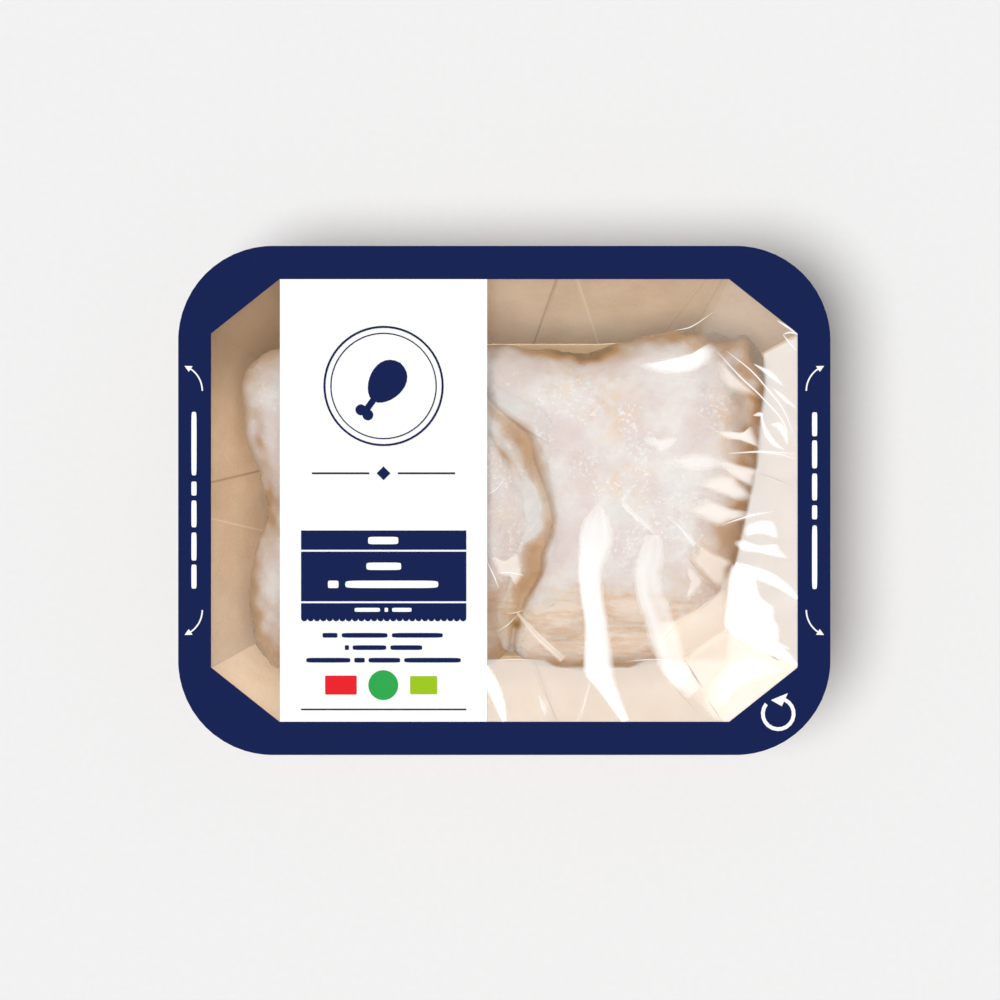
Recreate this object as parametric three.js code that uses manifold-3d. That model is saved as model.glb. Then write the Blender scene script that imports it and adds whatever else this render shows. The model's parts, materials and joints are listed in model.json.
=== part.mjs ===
// Tray pack of raw chicken thighs, in millimetres.
// A folded kraft board tray with a flange holds two raw skin-on thighs, and a clear lid film
// carrying a printed border, a white label band and their plain print marks closes it.
// +X runs along the long side, +Y across, +Z up. The origin is the middle of the underside.
import * as THREE from 'three';
import { mergeVertices } from 'three/addons/utils/BufferGeometryUtils.js';
import Module from 'manifold-3d';

// Tray: rim outline, mouth inside the flange, floor, depth and board
const RIM = { length: 228, width: 178, corner: 33 };
const TRAY_DEPTH = 50;
const BOARD = 0.8;
const WALL_OFFSET = 0.9;
const CORNER_STEPS = 8;
// A level gives the inner half sizes, the corner cut, and where the creases of one quadrant cross it
const MOUTH = {
  halfX: 109, halfY: 84, cutX: 29, cutY: 22,
  endGusset: 4.8, sideFacet: 76, sideGusset: [23.5, 20.5], push: 0,
};
const FLOOR = {
  halfX: 83, halfY: 59, cutX: 15, cutY: 11,
  endGusset: 13, sideFacet: 57, sideGusset: [35, 11], push: 0.9,
};

// Lid film, printed layer and marks on the print
const FILM = 0.3;
const INK = 0.2;
const WINDOW = { halfX: 102.5, halfY: 77.35, cutX: 23.9, cutY: 19 };
const LABEL = { left: -78.4, right: -6, clearance: 0.15 };
const FILM_Z = TRAY_DEPTH;
const PRINT_Z = FILM_Z + FILM;
const MARK_Z = PRINT_Z + INK;
const LABEL_MIDDLE = (LABEL.left + LABEL.right) / 2;

// Thighs: heights, fullness of the section, and the gap along the valley between them
const THIGH = { low: BOARD + 0.4, high: 48.6, widest: 26, fullness: 0.62, wallGap: 1.9 };
const THIGH_STEPS = { round: 76, upward: 24 };
// A bank along the valley has a steeper section, which eases into the usual one away from it
const BANK_EASE = { from: 2, to: 26, lowerY: 0, upperY: 25 };
const LEFT_BANK = { lower: 0.58, upper: 0.38 };
const RIGHT_BANK = { lower: 0.36, upper: 0.42 };
const VALLEY_GAP = 0.45;
const VALLEY_END_GAP = 1.6;

const KRAFT = material('#c9a27c', 0.85);
const SKIN = material('#e9ddd3', 0.35);
const CLEAR = material('#f4f6f7', 0.08);
const NAVY = material('#1b2757', 0.35);
const WHITE = material('#ffffff', 0.4);
const RED = material('#e8232b', 0.4);
const GREEN = material('#2fa84f', 0.4);
const LIME = material('#9cc51e', 0.4);

function material(color, roughness) {
  return new THREE.MeshStandardMaterial({ color, roughness, metalness: 0 });
}

const wasm = await Module();
wasm.setup();

// Mesh helpers

function meshGeometry(points, triangles) {
  const geometry = new THREE.BufferGeometry();
  geometry.setAttribute('position', new THREE.Float32BufferAttribute(points.flat(), 3));
  geometry.setIndex(triangles.flat());
  return geometry;
}

// Closed skin through rings that all run anticlockwise seen from above, from the low middle
// point over the outside to the high or inner middle point
function loft(rings, firstPole, lastPole) {
  const count = rings[0].length;
  const points = [...rings.flat(), firstPole, lastPole];
  const first = rings.length * count;
  const last = first + 1;
  const top = (rings.length - 1) * count;
  const triangles = [];
  for (let j = 0; j < count; j += 1) {
    const next = (j + 1) % count;
    triangles.push([first, next, j], [last, top + j, top + next]);
    for (let k = 0; k < rings.length - 1; k += 1) {
      const lower = k * count;
      const upper = lower + count;
      triangles.push([lower + j, lower + next, upper + next]);
      triangles.push([lower + j, upper + next, upper + j]);
    }
  }
  return meshGeometry(points, triangles);
}

function toSolid(geometry) {
  const bare = geometry.clone();
  bare.deleteAttribute('normal');
  bare.deleteAttribute('uv');
  const merged = mergeVertices(bare, 1e-4);
  return new wasm.Manifold(new wasm.Mesh({
    numProp: 3,
    vertProperties: new Float32Array(merged.attributes.position.array),
    triVerts: new Uint32Array(merged.index.array),
  }));
}

function fromSolid(solid) {
  const { vertProperties, triVerts } = solid.getMesh();
  const geometry = new THREE.BufferGeometry();
  geometry.setAttribute('position', new THREE.BufferAttribute(vertProperties, 3));
  geometry.setIndex(new THREE.BufferAttribute(triVerts, 1));
  return geometry;
}

function union(geometries) {
  const solids = geometries.map(toSolid);
  return fromSolid(solids.reduce((sum, solid) => sum.add(solid)));
}

const group = new THREE.Group();

function add(name, geometry, finish) {
  const mesh = new THREE.Mesh(geometry, finish);
  mesh.name = name;
  group.add(mesh);
}

// Flat outlines

function polygon(points) {
  return new THREE.Shape(points.map(([x, y]) => new THREE.Vector2(x, y)));
}

function roundedBox(centreX, centreY, length, width, radius) {
  const shape = new THREE.Shape();
  const x = length / 2 - radius;
  const y = width / 2 - radius;
  const quarter = Math.PI / 2;
  shape.absarc(centreX + x, centreY + y, radius, 0, quarter, false);
  shape.absarc(centreX - x, centreY + y, radius, quarter, 2 * quarter, false);
  shape.absarc(centreX - x, centreY - y, radius, 2 * quarter, 3 * quarter, false);
  shape.absarc(centreX + x, centreY - y, radius, 3 * quarter, 4 * quarter, false);
  shape.closePath();
  return shape;
}

function box(left, right, low, high) {
  return polygon([[left, low], [right, low], [right, high], [left, high]]);
}

function disc(centreX, centreY, radius) {
  return new THREE.Shape().absarc(centreX, centreY, radius, 0, 2 * Math.PI, false);
}

function plate(shape, z, thickness, curveSegments = 12) {
  const options = { depth: thickness, bevelEnabled: false, curveSegments };
  return new THREE.ExtrudeGeometry(shape, options).translate(0, 0, z);
}

function cutOctagon({ halfX, halfY, cutX, cutY }) {
  const quadrant = [[halfX, halfY - cutY], [halfX - cutX, halfY]];
  return mirrorQuadrant(quadrant);
}

// Tray

function mirrorQuadrant(quadrant) {
  const turned = (signX, signY) => quadrant.map(([x, y]) => [signX * x, signY * y]);
  return [
    ...quadrant,
    ...turned(-1, 1).reverse(),
    ...turned(-1, -1),
    ...turned(1, -1).reverse(),
  ];
}

// One level of the folded wall; push moves the gusset creases inwards, which folds the board
function wallRing(level, offset, z) {
  const cutShrink = (2 - Math.SQRT2) * offset;
  const halfX = level.halfX + offset;
  const halfY = level.halfY + offset;
  const cutX = level.cutX + cutShrink;
  const cutY = level.cutY + cutShrink;
  const quadrant = [[halfX - level.push, level.endGusset]];
  for (let step = 0; step <= CORNER_STEPS; step += 1) {
    const part = step / CORNER_STEPS;
    quadrant.push([halfX - cutX * part, halfY - cutY * (1 - part)]);
  }
  quadrant.push([level.sideFacet, halfY]);
  level.sideGusset.forEach((x) => quadrant.push([x, halfY - level.push]));
  return mirrorQuadrant(quadrant).map(([x, y]) => [x, y, z]);
}

// The flange's edge, with the same stations as a wall ring and round corners
function rimRing(z) {
  const halfX = RIM.length / 2;
  const halfY = RIM.width / 2;
  const quadrant = [[halfX, MOUTH.endGusset]];
  for (let step = 0; step <= CORNER_STEPS; step += 1) {
    const angle = (step / CORNER_STEPS) * (Math.PI / 2);
    const x = halfX - RIM.corner * (1 - Math.cos(angle));
    const y = halfY - RIM.corner * (1 - Math.sin(angle));
    quadrant.push([x, y]);
  }
  [MOUTH.sideFacet, ...MOUTH.sideGusset].forEach((x) => quadrant.push([x, halfY]));
  return mirrorQuadrant(quadrant).map(([x, y]) => [x, y, z]);
}

function tray() {
  const rings = [
    wallRing(FLOOR, WALL_OFFSET, 0),
    wallRing(MOUTH, WALL_OFFSET, TRAY_DEPTH - BOARD),
    rimRing(TRAY_DEPTH - BOARD),
    rimRing(TRAY_DEPTH),
    wallRing(MOUTH, 0, TRAY_DEPTH),
    wallRing(FLOOR, 0, BOARD),
  ];
  return loft(rings, [0, 0, 0], [0, 0, BOARD]);
}

// Thighs

// The valley where the two thighs meet, from the top of the tray to the bottom
const VALLEY = [
  [-17, 52], [-5, 34], [7, 24], [10.5, 13], [15.5, -1], [16, -10], [12.6, -19], [12, -26], [7, -35],
  [4, -44], [2.5, -54],
];

const RIGHT_RIM = [
  [14, -59], [32, -60.5], [50, -59], [68, -52], [80, -42], [82.7, -22], [87.2, -5], [91.6, 15],
  [94, 33.5], [94.6, 46], [90.5, 55.5], [85.3, 59.2], [81, 57.7], [76, 59.6], [62, 60.6], [49, 58.7],
  [29, 53], [-2, 55.5],
];
const LEFT_RIM = [
  [-34, 56.5], [-59, 56.5], [-80, 54.5], [-92, 47], [-94, 32], [-88, 10], [-84.5, -4.5],
  [-90, -22], [-90, -45], [-82, -60], [-60, -64], [-30, -62], [-8, -60],
];

// Relief on the upper side: each is a soft mound, or a hollow where rise is negative, with its
// place, its two radii, the turn of the first radius from +X in degrees, and its height
const RIGHT_RELIEF = [
  { at: [84, 40], radii: [22, 4], turn: 96, rise: -5 },
  { at: [85, 56], radii: [7, 5], turn: 20, rise: 5 },
  { at: [40, -44], radii: [34, 12], turn: 4, rise: -7 },
  { at: [22, -44], radii: [9, 5], turn: 10, rise: 4 },
  { at: [46, -41], radii: [10, 5], turn: -8, rise: 4 },
  { at: [30, 52], radii: [12, 5], turn: 0, rise: -4 },
  { at: [66, 52], radii: [16, 5], turn: 0, rise: 3 },
];
const LEFT_RELIEF = [
  { at: [-84, -4], radii: [14, 7], turn: 0, rise: -7 },
  { at: [0, 16], radii: [9, 1.4], turn: -54, rise: -2 },
  { at: [-2, -44], radii: [14, 8], turn: 60, rise: -6 },
  { at: [-60, 26], radii: [26, 20], turn: 0, rise: 2 },
  { at: [-30, -20], radii: [30, 26], turn: 20, rise: 2 },
];

// Valley points moved to one side; the ends open wider, where the two outlines turn away
function valleySide(side) {
  const lastIndex = VALLEY.length - 1;
  return VALLEY.map(([x, y], index) => {
    const atEnd = index === 0 || index === lastIndex;
    return [x + side * (atEnd ? VALLEY_END_GAP : VALLEY_GAP), y];
  });
}

function outlineRing(points) {
  const knots = points.map(([x, y]) => new THREE.Vector3(x, y, 0));
  const curve = new THREE.CatmullRomCurve3(knots, true, 'catmullrom', 0.5);
  return curve.getSpacedPoints(THIGH_STEPS.round).slice(0, -1).map(({ x, y }) => [x, y]);
}

// How far a place lies from the valley's line
function valleyDistance(x, y) {
  const place = new THREE.Vector3(x, y, 0);
  const nearest = new THREE.Vector3();
  const knots = VALLEY.map(([knotX, knotY]) => new THREE.Vector3(knotX, knotY, 0));
  const distances = knots.slice(1).map((end, index) => {
    const stretch = new THREE.Line3(knots[index], end);
    return stretch.closestPointToPoint(place, true, nearest).distanceTo(place);
  });
  return Math.min(...distances);
}

function sectionFullness([x, y], bank) {
  const { lerp, smoothstep } = THREE.MathUtils;
  const nearValley = lerp(bank.lower, bank.upper, smoothstep(y, BANK_EASE.lowerY, BANK_EASE.upperY));
  const away = smoothstep(valleyDistance(x, y), BANK_EASE.from, BANK_EASE.to);
  return lerp(nearValley, THIGH.fullness, away);
}

function reliefHeight(relief, x, y) {
  return relief.reduce((sum, { at, radii, turn, rise }) => {
    const angle = THREE.MathUtils.degToRad(turn);
    const dx = x - at[0];
    const dy = y - at[1];
    const along = (dx * Math.cos(angle) + dy * Math.sin(angle)) / radii[0];
    const across = (dy * Math.cos(angle) - dx * Math.sin(angle)) / radii[1];
    return sum + rise * Math.exp(-along * along - across * across);
  }, 0);
}

// Holds a point clear of the tray's sloping walls and cut corners at its height
function insideTray(x, y, z) {
  const part = (z - BOARD) / (TRAY_DEPTH - BOARD);
  const at = (key) => THREE.MathUtils.lerp(FLOOR[key], MOUTH[key], part);
  const limitX = at('halfX') - THIGH.wallGap;
  const limitY = at('halfY') - THIGH.wallGap;
  let absX = Math.min(Math.abs(x), limitX);
  let absY = Math.min(Math.abs(y), limitY);
  const cutX = at('cutX');
  const cutY = at('cutY');
  const excess = (absX - limitX) / cutX + (absY - limitY) / cutY + 1;
  if (excess > 0) {
    absX -= (excess * cutX) / 2;
    absY -= (excess * cutY) / 2;
  }
  return [Math.sign(x) * absX, Math.sign(y) * absY, z];
}

// A rounded, full section swept round the outline: the reach from the middle shrinks as the
// cosine of the climb angle and the height grows as its sine, both raised to the fullness
function thigh(outlinePoints, middle, relief, bank) {
  const outline = outlineRing(outlinePoints);
  const fullness = outline.map((place) => sectionFullness(place, bank));
  const rings = [];
  for (let step = 1; step < THIGH_STEPS.upward; step += 1) {
    const climb = Math.PI * (step / THIGH_STEPS.upward - 0.5);
    rings.push(outline.map(([x, y], index) => {
      const reach = Math.cos(climb) ** fullness[index];
      const lift = Math.sign(climb) * Math.abs(Math.sin(climb)) ** fullness[index];
      const px = middle[0] + (x - middle[0]) * reach;
      const py = middle[1] + (y - middle[1]) * reach;
      return insideTray(px, py, thighHeight(px, py, lift, relief));
    }));
  }
  const low = [...middle, THIGH.low];
  const high = [...middle, thighHeight(...middle, 1, relief)];
  return loft(rings, low, high);
}

function thighHeight(x, y, lift, relief) {
  if (lift < 0) {
    return THIGH.widest + lift * (THIGH.widest - THIGH.low);
  }
  const height = THIGH.widest + lift * (THIGH.high - THIGH.widest);
  return Math.min(height + lift * reliefHeight(relief, x, y), THIGH.high);
}

// Film folds: long kites raised on the film, from start to end, with the width at the middle
const FOLDS = [
  { start: [36, 0], end: [39, -74], width: 7, rise: 0.7 },
  { start: [48, -14], end: [57, -60], width: 5, rise: 0.6 },
  { start: [56, -4], end: [76, -32], width: 2.5, rise: 0.5 },
  { start: [77, -26], end: [84, -74], width: 9, rise: 0.7 },
  { start: [92, -20], end: [88, -58], width: 5, rise: 0.6 },
  { start: [44, 46], end: [74, 54], width: 4, rise: 0.6 },
  { start: [74, 53], end: [101, 22], width: 4, rise: 0.6 },
  { start: [60, 60], end: [76, 68], width: 2, rise: 0.4 },
  { start: [-4, -59], end: [1, -76], width: 3, rise: 0.5 },
];

function fold({ start, end, width, rise }) {
  const along = new THREE.Vector2(end[0] - start[0], end[1] - start[1]);
  const across = new THREE.Vector2(-along.y, along.x).setLength(width / 2);
  const middle = [start[0] + along.x / 2, start[1] + along.y / 2];
  const sunk = FILM_Z + FILM / 2;
  const points = [
    [...start, sunk],
    [middle[0] - across.x, middle[1] - across.y, sunk],
    [...end, sunk],
    [middle[0] + across.x, middle[1] + across.y, sunk],
    [...middle, FILM_Z + FILM + rise],
  ];
  const sides = [[0, 1, 4], [1, 2, 4], [2, 3, 4], [3, 0, 4]];
  return meshGeometry(points, [...sides, [0, 2, 1], [0, 3, 2]]);
}

function lidFilm() {
  const outline = roundedBox(0, 0, RIM.length, RIM.width, RIM.corner);
  return union([plate(outline, FILM_Z, FILM), ...FOLDS.map(fold)]);
}

function printBorder() {
  const outline = roundedBox(0, 0, RIM.length, RIM.width, RIM.corner);
  outline.holes.push(new THREE.Path(polygon(cutOctagon(WINDOW)).getPoints()));
  return plate(outline, PRINT_Z, INK);
}

function labelBand() {
  const reach = WINDOW.halfY - LABEL.clearance;
  return plate(box(LABEL.left, LABEL.right, -reach, reach), PRINT_Z, INK);
}

// Print marks on the label band

const TITLE = { left: -71, right: -13.3, scallops: 26 };
const TITLE_BARS = { upper: [-17.2, -10.5], middle: [-35.2, -17.9] };
const TITLE_EDGE = { low: -41.1, high: -35.9 };
const TEXT_ROWS = [
  { y: -47.1, length: 42 },
  { y: -51.4, length: 27 },
  { y: -55.8, length: 54 },
];
const TEXT_HEIGHT = 1.6;
const ROUND_END = TEXT_HEIGHT / 2 - 0.01;
// How many chords stand for an arc, by how large it is
const CHORDS = { ring: 32, badge: 20, bone: 12, scallop: 4, rowEnd: 4, blockCorner: 2 };
const BADGES = {
  y: -64.5,
  corner: 0.4,
  red: { x: -57.1, length: 11, height: 6.6 },
  green: { x: -42.3, radius: 5.2 },
  lime: { x: -28.2, length: 9.4, height: 6.3 },
};
const RULE = { y: -73, thickness: 0.5 };
const EMBLEM = { y: 40, radius: 21, line: 0.7, innerRadius: 18.6, innerLine: 0.4 };
// The waist and the shoulder are the two handles of the curve round one side of the meat
const DRUMSTICK = {
  meat: { high: 10, low: -6, neck: 1.6, waist: [7, -3], shoulder: [9, 9] },
  bone: { halfWidth: 1.1, high: -5, low: -11 },
  knuckle: { x: 1.5, y: -11.4, radius: 1.9 },
  turn: -36,
};
const DIVIDER = { y: 9.5, length: 20, gap: 5, thickness: 0.6, diamond: 2.4 };

// Bar whose lower edge is a row of half rounds
function scallopedBar() {
  const radius = (TITLE.right - TITLE.left) / (2 * TITLE.scallops);
  const shape = new THREE.Shape();
  shape.moveTo(TITLE.right, TITLE_EDGE.high);
  shape.lineTo(TITLE.left, TITLE_EDGE.high);
  shape.lineTo(TITLE.left, TITLE_EDGE.low);
  for (let scallop = 0; scallop < TITLE.scallops; scallop += 1) {
    const x = TITLE.left + radius * (2 * scallop + 1);
    shape.absarc(x, TITLE_EDGE.low, radius, Math.PI, 2 * Math.PI, false);
  }
  shape.closePath();
  return plate(shape, MARK_Z, INK, CHORDS.scallop);
}

function ring(centreX, centreY, radius, line) {
  const shape = disc(centreX, centreY, radius);
  shape.holes.push(new THREE.Path().absarc(centreX, centreY, radius - line, 0, 2 * Math.PI, true));
  return shape;
}

// A plain drumstick: a pear-shaped round of meat, a bone and its two knuckles
function drumstick() {
  const { meat, bone, knuckle, turn } = DRUMSTICK;
  const round = new THREE.Shape();
  round.moveTo(-meat.neck, meat.low);
  const [waistX, waistY] = meat.waist;
  const [shoulderX, shoulderY] = meat.shoulder;
  round.bezierCurveTo(-waistX, waistY, -shoulderX, shoulderY, 0, meat.high);
  round.bezierCurveTo(shoulderX, shoulderY, waistX, waistY, meat.neck, meat.low);
  round.closePath();
  const pieces = [
    round,
    box(-bone.halfWidth, bone.halfWidth, bone.low, bone.high),
    disc(-knuckle.x, knuckle.y, knuckle.radius),
    disc(knuckle.x, knuckle.y, knuckle.radius),
  ];
  const flat = union(pieces.map((shape) => plate(shape, 0, INK, CHORDS.bone)));
  const angle = THREE.MathUtils.degToRad(turn);
  return flat.rotateZ(angle).translate(LABEL_MIDDLE, EMBLEM.y, MARK_Z);
}

function labelMarks() {
  const bars = Object.entries(TITLE_BARS);
  bars.forEach(([name, [low, high]]) => {
    add(`title_bar_${name}`, plate(box(TITLE.left, TITLE.right, low, high), MARK_Z, INK), NAVY);
  });
  add('title_bar_scalloped', scallopedBar(), NAVY);
  TEXT_ROWS.forEach(({ y, length }, index) => {
    const row = roundedBox(LABEL_MIDDLE, y, length, TEXT_HEIGHT, ROUND_END);
    add(`text_row_${index + 1}`, plate(row, MARK_Z, INK, CHORDS.rowEnd), NAVY);
  });
  const rule = box(TITLE.left, TITLE.right, RULE.y - RULE.thickness / 2, RULE.y + RULE.thickness / 2);
  add('rule_line', plate(rule, MARK_Z, INK), NAVY);
}

function badges() {
  const { y, corner, red, green, lime } = BADGES;
  const block = ({ x, length, height }) => roundedBox(x, y, length, height, corner);
  add('badge_red', plate(block(red), MARK_Z, INK, CHORDS.blockCorner), RED);
  add('badge_green', plate(disc(green.x, y, green.radius), MARK_Z, INK, CHORDS.badge), GREEN);
  add('badge_lime', plate(block(lime), MARK_Z, INK, CHORDS.blockCorner), LIME);
}

function emblem() {
  const outer = ring(LABEL_MIDDLE, EMBLEM.y, EMBLEM.radius, EMBLEM.line);
  const inner = ring(LABEL_MIDDLE, EMBLEM.y, EMBLEM.innerRadius, EMBLEM.innerLine);
  add('emblem_ring_outer', plate(outer, MARK_Z, INK, CHORDS.ring), NAVY);
  add('emblem_ring_inner', plate(inner, MARK_Z, INK, CHORDS.ring), NAVY);
  add('emblem_drumstick', drumstick(), NAVY);
  const { y, length, gap, thickness, diamond } = DIVIDER;
  [-1, 1].forEach((side) => {
    const ends = [LABEL_MIDDLE + side * gap, LABEL_MIDDLE + side * (gap + length)];
    const line = box(Math.min(...ends), Math.max(...ends), y - thickness / 2, y + thickness / 2);
    add(`divider_line_${side < 0 ? 'left' : 'right'}`, plate(line, MARK_Z, INK), NAVY);
  });
  const lozenge = [[diamond, 0], [0, diamond], [-diamond, 0], [0, -diamond]];
  const shape = polygon(lozenge.map(([dx, dy]) => [LABEL_MIDDLE + dx, y + dy]));
  add('divider_diamond', plate(shape, MARK_Z, INK), NAVY);
}

// White marks on the border

const SIDE_ROW = { x: 108.4, length: 62, width: 2, roundEnd: 0.99 };
// Each side arrow bends outwards from its tail, round a middle outside the rim's edge
const SIDE_ARROW = { x: 114.7, y: 38.3, radius: 9.2, line: 0.5, from: 0, sweep: 56, head: 2.4 };
const PEEL_ARROW = { x: 95.7, y: -74.5, radius: 5.4, line: 1.3, from: 141, sweep: 284, head: 5 };
const ARC_STEPS = 16;

function polar(radius, degrees) {
  const angle = THREE.MathUtils.degToRad(degrees);
  return [radius * Math.cos(angle), radius * Math.sin(angle)];
}

// An arc of a line that ends in a pointed head, as one outline round its own middle
function arcArrow({ radius, line, from, sweep, head }) {
  const outer = [];
  const inner = [];
  for (let step = 0; step <= ARC_STEPS; step += 1) {
    const degrees = from + (sweep * step) / ARC_STEPS;
    outer.push(polar(radius + line / 2, degrees));
    inner.unshift(polar(radius - line / 2, degrees));
  }
  const end = from + sweep;
  const point = end + THREE.MathUtils.radToDeg(head / radius);
  const barbs = [polar(radius + head / 2, end), polar(radius, point), polar(radius - head / 2, end)];
  return [...outer, ...barbs, ...inner];
}

// An arrow's outline at its place, mirrored across X or Y where a sign is -1
function arrowPlate(arrow, signX, signY) {
  const place = ([x, y]) => [signX * (arrow.x + x), signY * (arrow.y + y)];
  return plate(polygon(arcArrow(arrow).map(place)), MARK_Z, INK);
}

function sideMarks(name, side) {
  const { x, length, width, roundEnd } = SIDE_ROW;
  const row = roundedBox(side * x, 0, width, length, roundEnd);
  add(`side_row_${name}`, plate(row, MARK_Z, INK, CHORDS.rowEnd), WHITE);
  const outward = { ...SIDE_ARROW, x: -SIDE_ARROW.x };
  add(`side_arrow_${name}_high`, arrowPlate(outward, -side, 1), WHITE);
  add(`side_arrow_${name}_low`, arrowPlate(outward, -side, -1), WHITE);
}

add('tray', tray(), KRAFT);
const leftOutline = [...valleySide(-1).reverse(), ...LEFT_RIM];
const rightOutline = [...RIGHT_RIM, ...valleySide(1)];
add('thigh_left', thigh(leftOutline, [-42, -3], LEFT_RELIEF, LEFT_BANK), SKIN);
add('thigh_right', thigh(rightOutline, [48, 0], RIGHT_RELIEF, RIGHT_BANK), SKIN);
add('lid_film', lidFilm(), CLEAR);
add('print_border', printBorder(), NAVY);
add('label_band', labelBand(), WHITE);
emblem();
labelMarks();
badges();
sideMarks('left', -1);
sideMarks('right', 1);
add('peel_arrow', arrowPlate(PEEL_ARROW, 1, 1), WHITE);

export default group;
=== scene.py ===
"""Looks of a sealed tray pack of raw chicken thighs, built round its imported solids.

A folded kraft board tray holds two skin-on thighs under a clear lid film, which carries a
navy border, a white label band and plain print marks. Sizes are in millimetres until a mesh
is written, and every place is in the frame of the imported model. The patterns of the
materials, the lights and the camera's place and view are in metres.
"""

import json
import logging
import math
from dataclasses import dataclass
from enum import Enum
from typing import Any, Sequence

import bpy
import numpy as np
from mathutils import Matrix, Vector


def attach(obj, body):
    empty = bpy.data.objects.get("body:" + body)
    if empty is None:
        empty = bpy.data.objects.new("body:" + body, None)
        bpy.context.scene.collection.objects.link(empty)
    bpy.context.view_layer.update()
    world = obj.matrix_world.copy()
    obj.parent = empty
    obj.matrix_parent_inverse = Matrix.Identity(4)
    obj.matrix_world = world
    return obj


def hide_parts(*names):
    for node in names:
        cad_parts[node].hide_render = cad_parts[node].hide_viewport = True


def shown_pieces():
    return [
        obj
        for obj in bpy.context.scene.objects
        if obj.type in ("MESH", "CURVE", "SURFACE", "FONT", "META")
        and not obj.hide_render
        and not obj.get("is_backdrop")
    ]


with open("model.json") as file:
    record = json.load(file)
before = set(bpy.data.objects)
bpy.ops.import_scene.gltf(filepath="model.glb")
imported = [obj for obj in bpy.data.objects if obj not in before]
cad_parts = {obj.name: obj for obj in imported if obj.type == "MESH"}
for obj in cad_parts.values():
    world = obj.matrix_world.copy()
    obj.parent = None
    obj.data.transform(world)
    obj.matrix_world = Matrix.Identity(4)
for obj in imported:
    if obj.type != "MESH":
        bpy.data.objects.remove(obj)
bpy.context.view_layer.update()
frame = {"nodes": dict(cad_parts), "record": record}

MM = 0.001
BODY = "root"

log = logging.getLogger("tray_pack")

Array = np.ndarray

# Keeps a length from being zero where it divides
TINY = 1e-9

# Half the length and half the width of the film's clear window
WINDOW_X, WINDOW_Y = 102.5, 77.35

# Heights of the underside and the face of the print
PRINT_LOW, PRINT_HIGH = 50.02, 50.5

# The attributes that the skin's material reads
TONES = ("flesh", "shade", "fat")


# Numbers and arrays


def smooth(low: float, high: float, value: Array) -> Array:
    """Smooth step: 0 below low, 1 above high, and 3t^2 - 2t^3 between them.

    Args:
        low: Where the step starts; it may lie above high, for a falling step.
        high: Where the step ends.
        value: The values to grade.

    Returns:
        The graded values, from 0 to 1.
    """
    t = np.clip((value - low) / (high - low), 0.0, 1.0)
    return t * t * (3.0 - 2.0 * t)


def waves(x: Array, y: Array, shortest: float, longest: float, seed: int, count: int = 28) -> Array:
    """Even seeded noise from plane waves in all directions.

    It is the sum of cos(2 pi across / length + phase), divided by the root of their number.

    Args:
        x: First coordinate.
        y: Second coordinate.
        shortest: Shortest wavelength.
        longest: Longest wavelength.
        seed: Seed of the draw.
        count: Number of waves.

    Returns:
        Noise of the shape of x, mostly between -1 and 1.
    """
    draw = np.random.default_rng(seed)
    turns = draw.uniform(0.0, 2.0 * math.pi, count)
    lengths = shortest * (longest / shortest) ** draw.uniform(0.0, 1.0, count)
    phases = draw.uniform(0.0, 2.0 * math.pi, count)
    total = np.zeros_like(x, dtype=float)
    for turn, length, phase in zip(turns, lengths, phases):
        across = x * math.cos(turn) + y * math.sin(turn)
        total += np.cos(2.0 * math.pi * across / length + phase)
    return total / math.sqrt(count)


@dataclass(frozen=True)
class Ripple:
    """Seeded noise with its own height, span of wavelengths and draw."""

    height: float
    shortest: float
    longest: float
    draw: int

    def at(self, x: Array, y: Array, seed: int = 0) -> Array:
        """Its height at each place."""
        return self.height * waves(x, y, self.shortest, self.longest, seed + self.draw)


@dataclass(frozen=True)
class Mound:
    """A soft mound, or a hollow where rise is negative.

    Its height is rise exp(-(a/r1)^2 - (b/r2)^2), with a and b along axes turned by so many
    degrees.
    """

    at: tuple[float, float]
    radii: tuple[float, float]
    turn: float
    rise: float

    def height(self, x: Array, y: Array) -> Array:
        """Its height at each place.

        Args:
            x: First coordinate.
            y: Second coordinate.

        Returns:
            Heights of the shape of x.
        """
        angle = math.radians(self.turn)
        dx, dy = x - self.at[0], y - self.at[1]
        along = (dx * math.cos(angle) + dy * math.sin(angle)) / self.radii[0]
        across = (dy * math.cos(angle) - dx * math.sin(angle)) / self.radii[1]
        return self.rise * np.exp(-along ** 2 - across ** 2)


def total(mounds: Sequence[Mound], x: Array, y: Array) -> Array:
    """Sum of the mounds' heights at each place."""
    return sum((mound.height(x, y) for mound in mounds), np.zeros(np.shape(x)))


def cubic(p0: Array, p1: Array, p2: Array, p3: Array, t: Array) -> Array:
    """Uniform Catmull-Rom cubic from p1 to p2.

    It is half of 2 p1 + (p2 - p0) t + (2 p0 - 5 p1 + 4 p2 - p3) t^2 + (3 p1 - p0 - 3 p2 + p3) t^3.

    Args:
        p0: The knot before the stretch.
        p1: Its first knot.
        p2: Its last knot.
        p3: The knot after it.
        t: Share of the way along it, from 0 to 1.

    Returns:
        Points of the stretch.
    """
    return (2.0 * p1 + (p2 - p0) * t + (2.0 * p0 - 5.0 * p1 + 4.0 * p2 - p3) * t ** 2
            + (3.0 * p1 - p0 - 3.0 * p2 + p3) * t ** 3) / 2.0


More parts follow.
